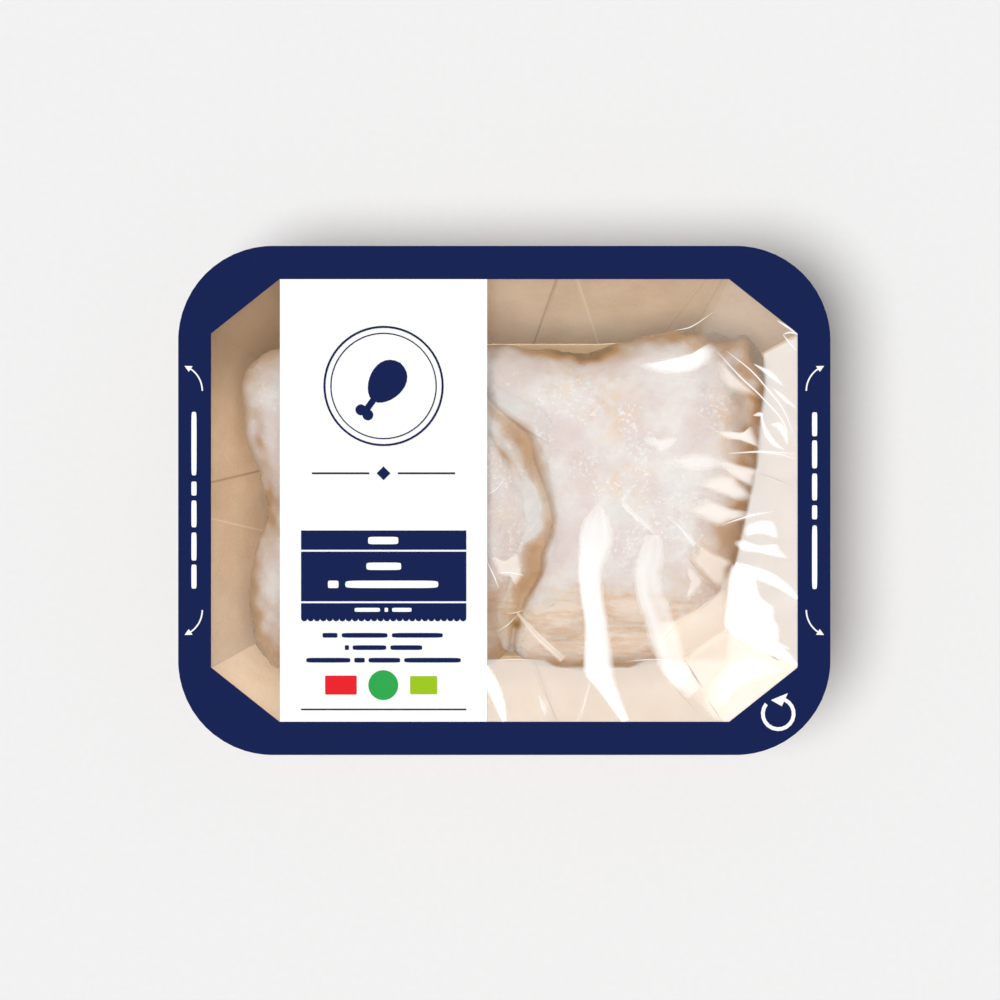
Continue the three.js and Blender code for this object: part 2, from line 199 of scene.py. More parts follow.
def closed_curve(knots: Sequence[tuple[float, float]], count: int) -> Array:
    """Closed smooth curve through knots, with its points at even distances.

    Each stretch is the uniform Catmull-Rom cubic of its four nearest knots.

    Args:
        knots: Points that the curve goes through, in order.
        count: Number of points wanted.

    Returns:
        Points of shape (count, 2).
    """
    per_stretch = 60
    given = np.asarray(knots, float)
    around = [np.roll(given, shift, 0)[:, None, :] for shift in (1, 0, -1, -2)]
    t = np.linspace(0.0, 1.0, per_stretch, endpoint=False)[None, :, None]
    dense = cubic(*around, t).reshape(-1, 2)
    closed = np.vstack([dense, dense[:1]])
    travelled = np.concatenate([[0.0], np.cumsum(np.linalg.norm(np.diff(closed, axis=0), axis=1))])
    wanted = np.linspace(0.0, travelled[-1], count, endpoint=False)
    return np.stack([np.interp(wanted, travelled, closed[:, axis]) for axis in (0, 1)], axis=1)


def through(knots: Sequence[Sequence[float]], count: int) -> Array:
    """Open smooth curve through knots, at even steps of the knots' numbers.

    Each stretch is the uniform Catmull-Rom cubic, with the end knots doubled.

    Args:
        knots: Points of any number of coordinates.
        count: Number of points wanted.

    Returns:
        Points of shape (count, coordinates).
    """
    given = np.asarray(knots, float)
    padded = np.vstack([2 * given[0] - given[1], given, 2 * given[-1] - given[-2]])
    at = np.linspace(0.0, len(given) - 1, count)
    start = np.minimum(at.astype(int), len(given) - 2)
    return cubic(*(padded[start + k] for k in range(4)), (at - start)[:, None])


def distance_to(line: Array, x: Array, y: Array) -> Array:
    """Distance from each place to the nearest point of a line of straight stretches.

    Args:
        line: Points of shape (count, 2).
        x: First coordinate.
        y: Second coordinate.

    Returns:
        Distances of the shape of x.
    """
    best = np.full(np.shape(x), np.inf)
    for (ax, ay), (bx, by) in zip(line[:-1], line[1:]):
        dx, dy = bx - ax, by - ay
        t = np.clip(((x - ax) * dx + (y - ay) * dy) / (dx * dx + dy * dy), 0.0, 1.0)
        best = np.minimum(best, np.hypot(x - ax - t * dx, y - ay - t * dy))
    return best


def at_height(flat: Array, z: float) -> Array:
    """Places of shape (count, 2) at one height, of shape (count, 3)."""
    return np.column_stack([flat, np.full(len(flat), z)])


# Meshes


def grid_quads(rows: int, columns: int, wrap: bool) -> Array:
    """Quads of a grid of rows by columns, numbered row by row.

    Args:
        rows: Number of rows of vertices.
        columns: Number of vertices in a row.
        wrap: Whether the last column joins the first.

    Returns:
        Vertex numbers of shape (quads, 4), anticlockwise where rows rise and columns run on.
    """
    column = np.arange(columns if wrap else columns - 1)
    following = (column + 1) % columns
    row = np.arange(rows - 1)[:, None] * columns
    corners = [row + column, row + following, row + columns + following, row + columns + column]
    return np.stack(corners, axis=-1).reshape(-1, 4)


def fan(centre: int, ring: Array, flip: bool) -> Array:
    """Triangles from a centre vertex to a closed ring of vertices.

    Args:
        centre: Number of the centre vertex.
        ring: Numbers of the ring's vertices.
        flip: Whether the triangles turn the other way.

    Returns:
        Vertex numbers of shape (triangles, 3).
    """
    following = np.roll(ring, -1)
    sides = (following, ring) if flip else (ring, following)
    return np.stack([np.full_like(ring, centre), *sides], axis=1)


def make_piece(name: str, points: Array, faces: Sequence[Array],
               smooth_faces: bool = True) -> bpy.types.Object:
    """A mesh object at the origin from points in millimetres.

    Args:
        name: Name of the piece.
        points: Vertices of shape (count, 3), in millimetres.
        faces: Arrays of faces, each of one number of corners.
        smooth_faces: Whether the faces are shaded smooth.

    Returns:
        The new object, linked to the scene.
    """
    mesh = bpy.data.meshes.new(name)
    listed = [face for block in faces for face in np.asarray(block).tolist()]
    mesh.from_pydata((points * MM).tolist(), [], listed)
    mesh.polygons.foreach_set("use_smooth", np.full(len(listed), smooth_faces))
    mesh.update()
    piece = bpy.data.objects.new(name, mesh)
    bpy.context.scene.collection.objects.link(piece)
    return piece


def loft(name: str, rows: Array, first_pole: Array, last_pole: Array,
         smooth_faces: bool = True) -> bpy.types.Object:
    """Closed skin through rings that run anticlockwise seen from above, from below to above.

    Args:
        name: Name of the piece.
        rows: Rings of shape (rows, columns, 3).
        first_pole: Point that closes the first ring.
        last_pole: Point that closes the last ring.
        smooth_faces: Whether the faces are shaded smooth.

    Returns:
        The new object.
    """
    count, columns, _ = rows.shape
    points = np.vstack([rows.reshape(-1, 3), first_pole, last_pole])
    ring = np.arange(columns)
    first = fan(count * columns, ring, True)
    last = fan(count * columns + 1, ring + (count - 1) * columns, False)
    return make_piece(name, points, [grid_quads(count, columns, True), first, last], smooth_faces)


def paint(piece: bpy.types.Object, name: str, values: Array) -> None:
    """Stores one number for each vertex, for the piece's material.

    Args:
        piece: The piece.
        name: Name of the attribute.
        values: One number for each vertex.
    """
    attribute = piece.data.attributes.new(name, "FLOAT", "POINT")
    attribute.data.foreach_set("value", np.asarray(values, np.float32).ravel())


def settle(piece: bpy.types.Object, slot: str, material: bpy.types.Material, *nodes: str) -> None:
    """Dresses a finished piece, rides it on the pack's body and reports it.

    Args:
        piece: The finished piece.
        slot: The record's material slot; not used.
        material: Its finish.
        nodes: The solids that it stands for.
    """
    piece.data.materials.clear()
    piece.data.materials.append(material)
    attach(piece, BODY)
    if nodes:
        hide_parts(*nodes)
    log.info("%s: %d faces, stands for %s", piece.name, len(piece.data.polygons), nodes or "itself")


# Materials


@dataclass(frozen=True)
class Pattern:
    """Noise of so many repeats to the metre, and the span of it that runs from 0 to 1."""

    scale: float
    detail: float
    roughness: float
    low: float = 0.0
    high: float = 1.0


class Graph:
    """A material's nodes, with a short call for each kind that the finishes use.

    A number or colour that a call takes may also be another node's output.
    """

    def __init__(self, name: str) -> None:
        """Starts an empty material with an output and Object coordinates.

        Args:
            name: Name of the material.
        """
        self.material = bpy.data.materials.new(name)
        self.material.use_nodes = True
        self.tree = self.material.node_tree
        self.tree.nodes.clear()
        self.output = self.node("ShaderNodeOutputMaterial")
        self.place = self.node("ShaderNodeTexCoord").outputs["Object"]

    def node(self, kind: str, **settings: Any) -> bpy.types.Node:
        """A new node with its settings.

        Args:
            kind: Blender's name of the node's type.
            settings: Properties to set on it.

        Returns:
            The node.
        """
        made = self.tree.nodes.new(kind)
        for key, value in settings.items():
            setattr(made, key, value)
        return made

    def feed(self, socket: bpy.types.NodeSocket, value: Any) -> None:
        """Links a socket to an output, or sets it to a constant.

        Args:
            socket: The input to feed.
            value: An output socket, or the constant.
        """
        if isinstance(value, bpy.types.NodeSocket):
            self.tree.links.new(value, socket)
        else:
            socket.default_value = value

    def output_of(self, kind: str, output: str | int, inputs: dict[str | int, Any],
                  **settings: Any) -> bpy.types.NodeSocket:
        """An output of a new node with its inputs fed.

        Args:
            kind: Blender's name of the node's type.
            output: Name or number of the output.
            inputs: Values by the inputs' names or numbers.
            settings: Properties to set on the node.

        Returns:
            The output.
        """
        made = self.node(kind, **settings)
        for key, value in inputs.items():
            self.feed(made.inputs[key], value)
        return made.outputs[output]

    def stretched(self, scale: tuple[float, float, float]) -> bpy.types.NodeSocket:
        """Object coordinates scaled along each axis; a small factor draws a pattern out."""
        return self.output_of("ShaderNodeMapping", "Vector", {"Vector": self.place, "Scale": scale})

    def noise(self, pattern: Pattern, place: Any = None) -> bpy.types.NodeSocket:
        """A pattern's plain noise.

        Args:
            pattern: The pattern.
            place: Coordinates; Object coordinates if left out.

        Returns:
            The noise, about 0.5.
        """
        inputs = {"Vector": self.place if place is None else place, "Scale": pattern.scale,
                  "Detail": pattern.detail, "Roughness": pattern.roughness}
        return self.output_of("ShaderNodeTexNoise", "Fac", inputs)

    def spanned(self, pattern: Pattern, start: float = 0.0, end: float = 1.0,
                place: Any = None) -> bpy.types.NodeSocket:
        """A pattern's noise, with its span mapped to that from start to end."""
        return self.between(self.noise(pattern, place), pattern.low, pattern.high, start, end)

    def cells(self, scale: float) -> bpy.types.NodeSocket:
        """Distance to the nearest point of a seeded scatter of so many points to the metre."""
        inputs = {"Vector": self.place, "Scale": scale}
        return self.output_of("ShaderNodeTexVoronoi", "Distance", inputs)

    def between(self, value: Any, low: float, high: float, start: float = 0.0,
                end: float = 1.0) -> bpy.types.NodeSocket:
        """Maps the span from low to high to that from start to end, smoothly and clamped."""
        inputs = {"Value": value, "From Min": low, "From Max": high, "To Min": start, "To Max": end}
        return self.output_of("ShaderNodeMapRange", "Result", inputs, interpolation_type="SMOOTHSTEP")

    def maths(self, operation: str, first: Any, second: Any) -> bpy.types.NodeSocket:
        """One sum of two numbers, by Blender's name of it."""
        return self.output_of("ShaderNodeMath", "Value", {0: first, 1: second}, operation=operation)

    def blend(self, factor: Any, first: Any, second: Any) -> bpy.types.NodeSocket:
        """Mixes two colours; the factor is the share of the second one."""
        return self.output_of("ShaderNodeMix", 2, {0: factor, 6: first, 7: second}, data_type="RGBA")

    def attribute(self, name: str) -> bpy.types.NodeSocket:
        """The piece's own numbers of that name."""
        return self.node("ShaderNodeAttribute", attribute_name=name).outputs["Fac"]

    def relief(self, height: Any, distance: float, strength: float,
               normal: Any = None) -> bpy.types.NodeSocket:
        """Bump from a height.

        Args:
            height: Height from 0 to 1.
            distance: What a height of 1 is, in metres.
            strength: Share of the effect.
            normal: Bump that this one adds to.

        Returns:
            The bumped normal.
        """
        inputs = {"Strength": strength, "Distance": distance, "Height": height}
        if normal is not None:
            inputs["Normal"] = normal
        return self.output_of("ShaderNodeBump", "Normal", inputs)

    def surface(self, **inputs: Any) -> bpy.types.Material:
        """Ends the material in a Principled shader.

        Args:
            inputs: Its sockets by name, with _ for a space.

        Returns:
            The finished material.
        """
        shader = self.node("ShaderNodeBsdfPrincipled")
        for key, value in inputs.items():
            self.feed(shader.inputs[key.replace("_", " ")], value)
        self.feed(self.output.inputs["Surface"], shader.outputs["BSDF"])
        return self.material


def colour(hex_code: str) -> tuple[float, float, float, float]:
    """Linear colour of a screen colour such as e9e0da.

    Args:
        hex_code: Six hexadecimal digits.

    Returns:
        Red, green, blue and an alpha of 1, linear.
    """
    channels = [int(hex_code[i:i + 2], 16) / 255.0 for i in (0, 2, 4)]
    linear = [c / 12.92 if c <= 0.04045 else ((c + 0.055) / 1.055) ** 2.4 for c in channels]
    return (*linear, 1.0)


@dataclass(frozen=True)
class Kraft:
    """Uncoated kraft board: fine fibres, soft clouds, a few flecks, paler fold lines and painted shade.

    The attribute crease turns the board pale above 0, as the whitened fibres of a fold line that
    also stand for the glint along it. Below 0 it turns the board to a painted shade colour, for
    shade in the creases, in one corner and on the floor. A span is where a mark starts and ends,
    and a relief is the height of 1 in metres and the strength.
    """

    pale: str = "e0c3a0"
    deep: str = "d3b48f"
    fleck: str = "b08a63"
    fold: str = "efdcc4"
    # Painted shade colour, for shade in the creases, in one corner and on the floor
    painted_shade: str = "957655"
    clouds: Pattern = Pattern(45.0, 4.0, 0.6, 0.35, 0.65)
    fibre: Pattern = Pattern(900.0, 3.0, 0.7)
    fibre_draw: float = 4.0
    grain_span: tuple[float, float] = (0.12, 0.42)
    grain_share: float = 0.35
    fleck_scale: float = 420.0
    fleck_span: tuple[float, float] = (0.10, 0.04)
    fleck_share: float = 0.5
    fold_share: float = 0.75
    painted_shade_share: float = 0.7
    relief: tuple[float, float] = (0.0002, 0.6)
    roughness: float = 0.82
    gloss: float = 0.25

    def fibres(self, graph: Graph) -> bpy.types.NodeSocket:
        """Fibres both ways across the board: the product of two drawn-out noises.

        Args:
            graph: The board's nodes.

        Returns:
            Their height, from 0 to 1.
        """
        draw = self.fibre_draw
        along = graph.noise(self.fibre, graph.stretched((1.0, draw, draw)))
        across = graph.noise(self.fibre, graph.stretched((draw, 1.0, 1.0)))
        return graph.maths("MULTIPLY", along, across)

    def build(self) -> bpy.types.Material:
        """The board's material.

        Returns:
            The finished material.
        """
        graph = Graph("kraft_fibre")
        base = graph.blend(graph.spanned(self.clouds), colour(self.deep), colour(self.pale))
        fibre = self.fibres(graph)
        grain = graph.maths("MULTIPLY", graph.between(fibre, *self.grain_span), self.grain_share)
        grained = graph.blend(grain, base, colour(self.fold))
        flecks = graph.between(graph.cells(self.fleck_scale), *self.fleck_span, 0.0, self.fleck_share)
        flecked = graph.blend(flecks, grained, colour(self.fleck))
        # Above 0 a pale fold line that also stands for its glint; below 0 painted shade
        crease = graph.attribute("crease")
        fold_line = graph.between(crease, 0.0, 1.0, 0.0, self.fold_share)
        painted_shade = graph.between(crease, 0.0, -1.0, 0.0, self.painted_shade_share)
        creased = graph.blend(fold_line, flecked, colour(self.fold))
        folded = graph.blend(painted_shade, creased, colour(self.painted_shade))
        return graph.surface(Base_Color=folded, Roughness=self.roughness,
                             Normal=graph.relief(fibre, *self.relief), Specular_IOR_Level=self.gloss)


@dataclass(frozen=True)
class Skin:
    """Raw chicken skin: pale pink, mottled with yellow fat, bare flesh below, with painted shade.

    The attribute fat is the share of mottling, flesh that of bare flesh, and shade that of painted
    shade: brownish shade on the sides, in the folds and along the valley, partly the skin's own
    browner colour at its edges, which deepens past 1 to a painted shadow. A relief is the height
    of 1 in metres and the strength.
    """

    pale: str = "efebe8"
    pink: str = "e7dcd8"
    fat: str = "ebd4b9"
    # White specks that stand for fat and for painted glints of the wet skin
    fat_speck_and_glint: str = "fbf9f8"
    # Painted shade colours: brownish shade, and a deeper painted shadow under the thighs' edges
    shade: str = "c59866"
    deep: str = "9c7a50"
    flesh: str = "e8ceb4"
    sinew: str = "efe0d2"
    clouds: Pattern = Pattern(60.0, 4.0, 0.55, 0.38, 0.62)
    mottle: Pattern = Pattern(110.0, 6.0, 0.68, 0.46, 0.58)
    patches: Pattern = Pattern(75.0, 2.0, 0.5, 0.48, 0.62)
    specks: Pattern = Pattern(700.0, 3.0, 0.65, 0.52, 0.64)
    speckle_share: float = 0.75
    streaks: Pattern = Pattern(230.0, 6.0, 0.62, 0.4, 0.56)
    streak_draw: tuple[float, float, float] = (0.22, 1.7, 1.0)
    shadow_deepening: tuple[float, float] = (1.05, 1.7)
    pore_scale: float = 700.0
    pore_relief: tuple[float, float] = (0.00025, 0.35)
    wrinkles: Pattern = Pattern(260.0, 5.0, 0.6)
    wrinkle_relief: tuple[float, float] = (0.0012, 0.45)
    wet: Pattern = Pattern(90.0, 3.0, 0.5, 0.35, 0.65)
    wet_roughness: tuple[float, float] = (0.26, 0.46)

    def fatty_skin(self, graph: Graph) -> bpy.types.NodeSocket:
        """Colour of the skin side: pink clouds, yellow mottling and white specks, which stand for fat
        and for painted glints of the wet skin.

        Args:
            graph: The skin's nodes.

        Returns:
            The colour.
        """
        skin = graph.blend(graph.spanned(self.clouds), colour(self.pink), colour(self.pale))
        fat_share = graph.maths("MULTIPLY", graph.spanned(self.mottle), graph.attribute("fat"))
        mottled = graph.blend(fat_share, skin, colour(self.fat))
        dots = graph.spanned(self.specks, 0.0, self.speckle_share)
        dotted = graph.maths("MULTIPLY", graph.spanned(self.patches), dots)
        return graph.blend(dotted, mottled, colour(self.fat_speck_and_glint))

    def bare_flesh(self, graph: Graph) -> bpy.types.NodeSocket:
        """Colour of the bare flesh, streaked with sinew along its fibres."""
        streaks = graph.spanned(self.streaks, place=graph.stretched(self.streak_draw))
        return graph.blend(streaks, colour(self.flesh), colour(self.sinew))

    def build(self) -> bpy.types.Material:
        """The thighs' material.

        Returns:
            The finished material.
        """
        graph = Graph("raw_skin")
        fleshy = graph.blend(graph.attribute("flesh"), self.fatty_skin(graph), self.bare_flesh(graph))
        # Painted shade over the skin, deepening past 1 to a painted shadow
        shade = graph.attribute("shade")
        brown_and_shade = graph.blend(shade, fleshy, colour(self.shade))
        shaded = graph.blend(graph.between(shade, *self.shadow_deepening), brown_and_shade, colour(self.deep))
        pores = graph.relief(graph.cells(self.pore_scale), *self.pore_relief)
        wrinkled = graph.relief(graph.noise(self.wrinkles), *self.wrinkle_relief, pores)
        wet = graph.spanned(self.wet, *self.wet_roughness)
        return graph.surface(Base_Color=shaded, Roughness=wet, Normal=wrinkled,
                             Subsurface_Weight=0.2, Subsurface_Radius=(1.0, 0.45, 0.3),
                             Subsurface_Scale=0.004, Coat_Weight=0.15, Coat_Roughness=0.2)


@dataclass(frozen=True)
class Film:
    """Clear lid film: see-through and glossy if wanted, with white mixed in by the piece's own
    attribute: a faint haze, and mostly painted glare and glints that stand for the film's reflections.

    The gloss is the Fresnel share for the index, once for each of the film's faces.
    """

    name: str
    glossy: bool
    index: float = 1.5
    faces: float = 2.0
    roughness: float = 0.07
    # White and a warm glare paint the film's reflections; the brownish and bluish colours paint the
    # shadows of creases and folds
    white: str = "fffdfb"
    warm_glare: str = "f9e7d3"
    crease_shadow: str = "b58f72"
    fold_shadow: str = "8d949e"

    def build(self) -> bpy.types.Material:
        """The film's material.

        One attribute turns the painted marks from white towards a warm glare from 0 to 0.5, towards a
        brownish painted crease shadow from there to 1, and towards a bluish painted fold shadow below
        0.

        Returns:
            The finished material.
        """
        graph = Graph(self.name)
        clear = graph.node("ShaderNodeBsdfTransparent")
        milk = graph.node("ShaderNodeBsdfDiffuse")
        # Painted glare, glints and shadow lines, mixed into the clear film by the piece's own
        # attributes
        tint = graph.attribute("tint")
        creamy = graph.blend(graph.between(tint, 0.0, 0.5), colour(self.white), colour(self.warm_glare))
        warm = graph.blend(graph.between(tint, 0.5, 1.0), creamy, colour(self.crease_shadow))
        cold = graph.blend(graph.between(tint, 0.0, -1.0), warm, colour(self.fold_shadow))
        graph.feed(milk.inputs["Color"], cold)
        film = self.mix(graph, graph.attribute("milk"), clear, milk)
        if self.glossy:
            gloss = graph.node("ShaderNodeBsdfGlossy")
            graph.feed(gloss.inputs["Roughness"], self.roughness)
            fresnel = graph.output_of("ShaderNodeFresnel", "Fac", {"IOR": self.index})
            both_faces = graph.maths("MINIMUM", graph.maths("MULTIPLY", fresnel, self.faces), 1.0)
            film = self.mix(graph, both_faces, film, gloss)
        graph.feed(graph.output.inputs["Surface"], film.outputs[0])
        return graph.material

    def mix(self, graph: Graph, share: Any, first: bpy.types.Node,
            second: bpy.types.Node) -> bpy.types.Node:
        """Mixes two shaders.

        Args:
            graph: The film's nodes.
            share: Share of the second one.
            first: First shader.
            second: Second shader.

        Returns:
            The node that mixes them.
        """
        mixer = graph.node("ShaderNodeMixShader")
        graph.feed(mixer.inputs[0], share)
        graph.feed(mixer.inputs[1], first.outputs[0])
        graph.feed(mixer.inputs[2], second.outputs[0])
        return mixer


@dataclass(frozen=True)
class Ink:
    """Opaque print on film: one even colour, with the film's faint waves in its gloss."""

    name: str
    hex_code: str
    gloss: float = 0.1
    sheen: Pattern = Pattern(70.0, 3.0, 0.5, 0.3, 0.7)
    roughness: tuple[float, float] = (0.42, 0.55)
    waves: Pattern = Pattern(50.0, 2.0, 0.5)
    wave_relief: tuple[float, float] = (0.0006, 0.12)

    def build(self) -> bpy.types.Material:
        """The ink's material.

        Returns:
            The finished material.
        """
        graph = Graph(self.name)
        uneven = graph.spanned(self.sheen, *self.roughness)
        bumped = graph.relief(graph.noise(self.waves), *self.wave_relief)
        return graph.surface(Base_Color=colour(self.hex_code), Roughness=uneven, Normal=bumped,
                             Specular_IOR_Level=self.gloss)


class Print(Enum):
    """The inks on the film, each with its record slot and its screen colour."""

    NAVY = ("navy_print", "132152")
    WHITE = ("white_print", "ffffff")
    RED = ("red_print", "e8232b")
    GREEN = ("green_print", "2fa84f")
    LIME = ("lime_print", "9cc51e")

    @property
    def slot(self) -> str:
        """The record's material slot."""
        return self.value[0]

    def material(self) -> bpy.types.Material:
        """The ink's material, made once."""
        name = self.name.lower() + "_ink"
        return bpy.data.materials.get(name) or Ink(name, self.value[1]).build()


# Tray


@dataclass(frozen=True)
class Level:
    """One level of the folded wall: half sizes, corner cuts and where its creases cross it."""

    half_x: float
    half_y: float
    cut_x: float
    cut_y: float
    end_gusset: float
    side_facet: float
    side_gusset: tuple[float, float]
    push: float

    def ring(self, offset: float) -> Array:
        """The level's outline, one point for each crease, anticlockwise.

        Args:
            offset: How far outside the inner face it lies.

        Returns:
            Points of shape (creases, 2).
        """
        shrink = (2.0 - math.sqrt(2.0)) * offset
        x, y = self.half_x + offset, self.half_y + offset
        cut_x, cut_y = self.cut_x + shrink, self.cut_y + shrink
        quadrant = [(x - self.push, self.end_gusset), (x, y - cut_y), (x - cut_x, y),
                    (self.side_facet, y)]
        quadrant += [(at, y - self.push) for at in self.side_gusset]
        return mirror_quadrant(np.array(quadrant))


def mirror_quadrant(quadrant: Array) -> Array:
    """A ring from its first quarter: the quarter, then its three mirror images in order.

    Args:
        quadrant: Points of the first quarter, of shape (count, 2), anticlockwise.

    Returns:
        Points of shape (4 count, 2).
    """
    flips = [np.array([sx, sy]) for sx, sy in ((1, 1), (-1, 1), (-1, -1), (1, -1))]
    parts = [(quadrant * flip)[::step] for flip, step in zip(flips, (1, -1, 1, -1))]
    return np.vstack(parts)


# A row of the tray's board: its points, and at each a tone: a pale fold line above 0, painted shade
# below 0
BoardRow = tuple[Array, Array]


@dataclass
class Tray:
    """The kraft board tray: flat floor, folded sloping walls with gussets, and a flange.

    The tones are those of a quarter's creases: pale above 0 for a fold line that also stands for
    its glint, painted shade below 0. Each of the floor's rows has its share of the way from the
    middle and its tone, which is painted shade, and the corner's mound is a share of painted shade.
    """

    depth: float = 50.0
    board: float = 0.8
    offset: float = 0.9
    rim_half_x: float = 114.0
    rim_half_y: float = 89.0
    rim_corner: float = 33.0
    rim_under: float = 3.0
    rim_flat: float = 0.5
    rim_rounding: float = 0.12
    lip_reach: float = 1.006
    wall_top: float = 0.994
    wall_rows: int = 24
    line_width: float = 0.38
    # Painted shade in the walls' corner at negative x and positive y
    painted_corner_shade: Mound = Mound((-92.0, 70.0), (34.0, 24.0), 60.0, 1.35)
    steps: tuple[float, ...] = (0.0, 0.004, 0.012, 0.03, 0.06, 0.12, 0.19, 0.27, 0.35, 0.43, 0.5,
                                0.57, 0.65, 0.73, 0.81, 0.88, 0.94, 0.97, 0.988, 0.996)
    # Tones of a quarter's creases: painted shade below 0, a pale fold line above 0 that also stands for
    # its glint
    tones: tuple[float, ...] = (-0.8, -0.35, -0.35, -0.35, 0.9, -0.8)
    lower_end_gussets: tuple[int, int] = (12, 23)
    gusset_tone: float = 0.7
    base_shares: tuple[float, ...] = (0.25, 0.6, 0.9, 0.985)
    # The floor's rows: a pale fold line at its edge, then painted shade over the rest
    floor_shade_rows: tuple[tuple[float, float], ...] = (
        (0.998, 0.2), (0.99, -0.8), (0.96, -0.9), (0.8, -0.9), (0.5, -0.9), (0.2, -0.9))
    mouth: Level = Level(half_x=109, half_y=84, cut_x=29, cut_y=22, end_gusset=4.8, side_facet=76,
                         side_gusset=(23.5, 20.5), push=0.0)
    floor: Level = Level(half_x=83, half_y=59, cut_x=15, cut_y=11, end_gusset=13, side_facet=57,
                         side_gusset=(35, 11), push=0.9)

    def spread(self, ring: Array) -> BoardRow:
        """Points along a ring, close together at its creases.

        Args:
            ring: One point for each crease.

        Returns:
            Points of shape (creases * steps, 2) and the signed tone at each, a pale fold line
            above 0 and painted shade below: the tones of the creases beside it, each times
            exp(-(distance / line width)^2).
        """
        share = np.array(self.steps)
        side = np.roll(ring, -1, 0) - ring
        points = ring[:, None] + side[:, None] * share[:, None]
        length = np.linalg.norm(side, axis=1, keepdims=True)
        tones = self.ring_tones()[:, None]
        first = tones * np.exp(-(share * length / self.line_width) ** 2)
        second = np.roll(tones, -1, 0) * np.exp(-((1.0 - share) * length / self.line_width) ** 2)
        return points.reshape(-1, 2), (first + second).ravel()

    def ring_tones(self) -> Array:
        """Tone of each crease: pale above 0, painted shade below; the lower end gusset is pale.

        Returns:
            Tones of shape (creases,).
        """
        quarter = np.array(self.tones)
        tones = np.concatenate([quarter, quarter[::-1], quarter, quarter[::-1]])
        tones[list(self.lower_end_gussets)] = self.gusset_tone
        return tones

    def wall_row(self, share: float, offset: float) -> BoardRow:
        """One row of the wall: the point is floor + share (mouth - floor).

        Args:
            share: 0 at the floor and 1 at the mouth.
            offset: How far outside the inner face it lies.

        Returns:
            The row, with points of shape (columns, 3).
        """
        low, low_tone = self.spread(self.floor.ring(offset))
        high, high_tone = self.spread(self.mouth.ring(offset))
        climb = share * (self.depth - self.board)
        z = climb + (self.board if offset == 0.0 else 0.0)
        return at_height(low + share * (high - low), z), low_tone + share * (high_tone - low_tone)

    def rim_row(self, inset: float, z: float) -> Array:
        """The flange's outline at a height, with round corners and the walls' columns.

        Args:
            inset: How far inside the rim's outline it lies.
            z: Its height.

        Returns:
            Points of shape (columns, 3).
        """
        x, y = self.rim_half_x - inset, self.rim_half_y - inset
        corner = self.rim_corner - inset
        mouth, _ = self.spread(self.mouth.ring(0.0))
        away = np.abs(mouth)
        on_end, on_side = np.isclose(away, (self.mouth.half_x, self.mouth.half_y)).T
        start_x = self.mouth.half_x - self.mouth.cut_x
        start_y = self.mouth.half_y - self.mouth.cut_y
        flat_x = np.minimum(away[:, 0] * (x - corner) / start_x, x - corner)
        flat_y = np.minimum(away[:, 1] * (y - corner) / start_y, y - corner)
        turn = (math.pi / 2.0) * np.clip((self.mouth.half_x - away[:, 0]) / self.mouth.cut_x, 0, 1)
        px = np.where(on_end, x, np.where(on_side, flat_x, x - corner + corner * np.cos(turn)))
        py = np.where(on_side, y, np.where(on_end, flat_y, y - corner + corner * np.sin(turn)))
        return at_height(np.copysign(np.column_stack([px, py]), mouth), z)

    def underside(self) -> list[BoardRow]:
        """Rows from the middle of the underside to its edge, then up the walls' outside.

        Returns:
            The rows.
        """
        edge, _ = self.wall_row(0.0, self.offset)
        plain = np.zeros(len(edge))
        base = [(edge * np.array([share, share, 0.0]), plain) for share in self.base_shares]
        climbs = np.linspace(0.0, 1.0, self.wall_rows // 2)
        return base + [self.wall_row(float(share), self.offset) for share in climbs]

    def flange(self) -> list[BoardRow]:
        """Rows round the flange's rolled edge, pale all over, then the mouth's lip.

        Returns:
            The rows.
        """
        under, top = self.depth - self.board, self.depth
        flat, rounding = self.rim_flat, self.rim_rounding
        profile = ((self.rim_under, under), (flat, under), (rounding, under + rounding),
                   (0.0, under + self.board / 2.0), (rounding, top - rounding), (flat, top))
        rows = [self.rim_row(inset, z) for inset, z in profile]
        lip, _ = self.wall_row(1.0, 0.0)
        lip[:, :2] *= self.lip_reach
        return [(row, np.ones(len(row))) for row in rows] + [(lip, np.zeros(len(lip)))]

    def inside(self) -> list[BoardRow]:
        """Rows down the walls' inside, with painted shade at one corner, then over the floor, which has
        painted shade too.

        Returns:
            The rows.
        """
        rows = []
        for share in np.linspace(self.wall_top, 0.0, self.wall_rows):
            row, crease = self.wall_row(float(share), 0.0)
            # Painted shade darkens the board at the corner's mound
            rows.append((row, crease - self.painted_corner_shade.height(row[:, 0], row[:, 1])))
        edge, _ = self.wall_row(0.0, 0.0)
        for share, tone in self.floor_shade_rows:
            rows.append((edge * np.array([share, share, 1.0]), np.full(len(edge), tone)))
        return rows

    def build(self) -> None:
        """Lofts the board from the middle of its underside, round the flange, to its floor."""
        rows, creases = zip(*self.underside(), *self.flange(), *self.inside())
        top = np.array([0.0, 0.0, self.board])
        piece = loft("kraft_tray", np.stack(rows), np.zeros(3), top, False)
        # The board's tones: pale fold lines, and painted shade below 0
        paint(piece, "crease", np.concatenate([*creases, [0.0, 0.0]]))
        piece.visible_diffuse = False
        settle(piece, "kraft_board", Kraft().build(), "tray")

    def between_levels(self, key: str, share: Array) -> Array:
        """One of the levels' sizes, at a share of the way from the floor to the mouth."""
        low, high = getattr(self.floor, key), getattr(self.mouth, key)
        return low + share * (high - low)

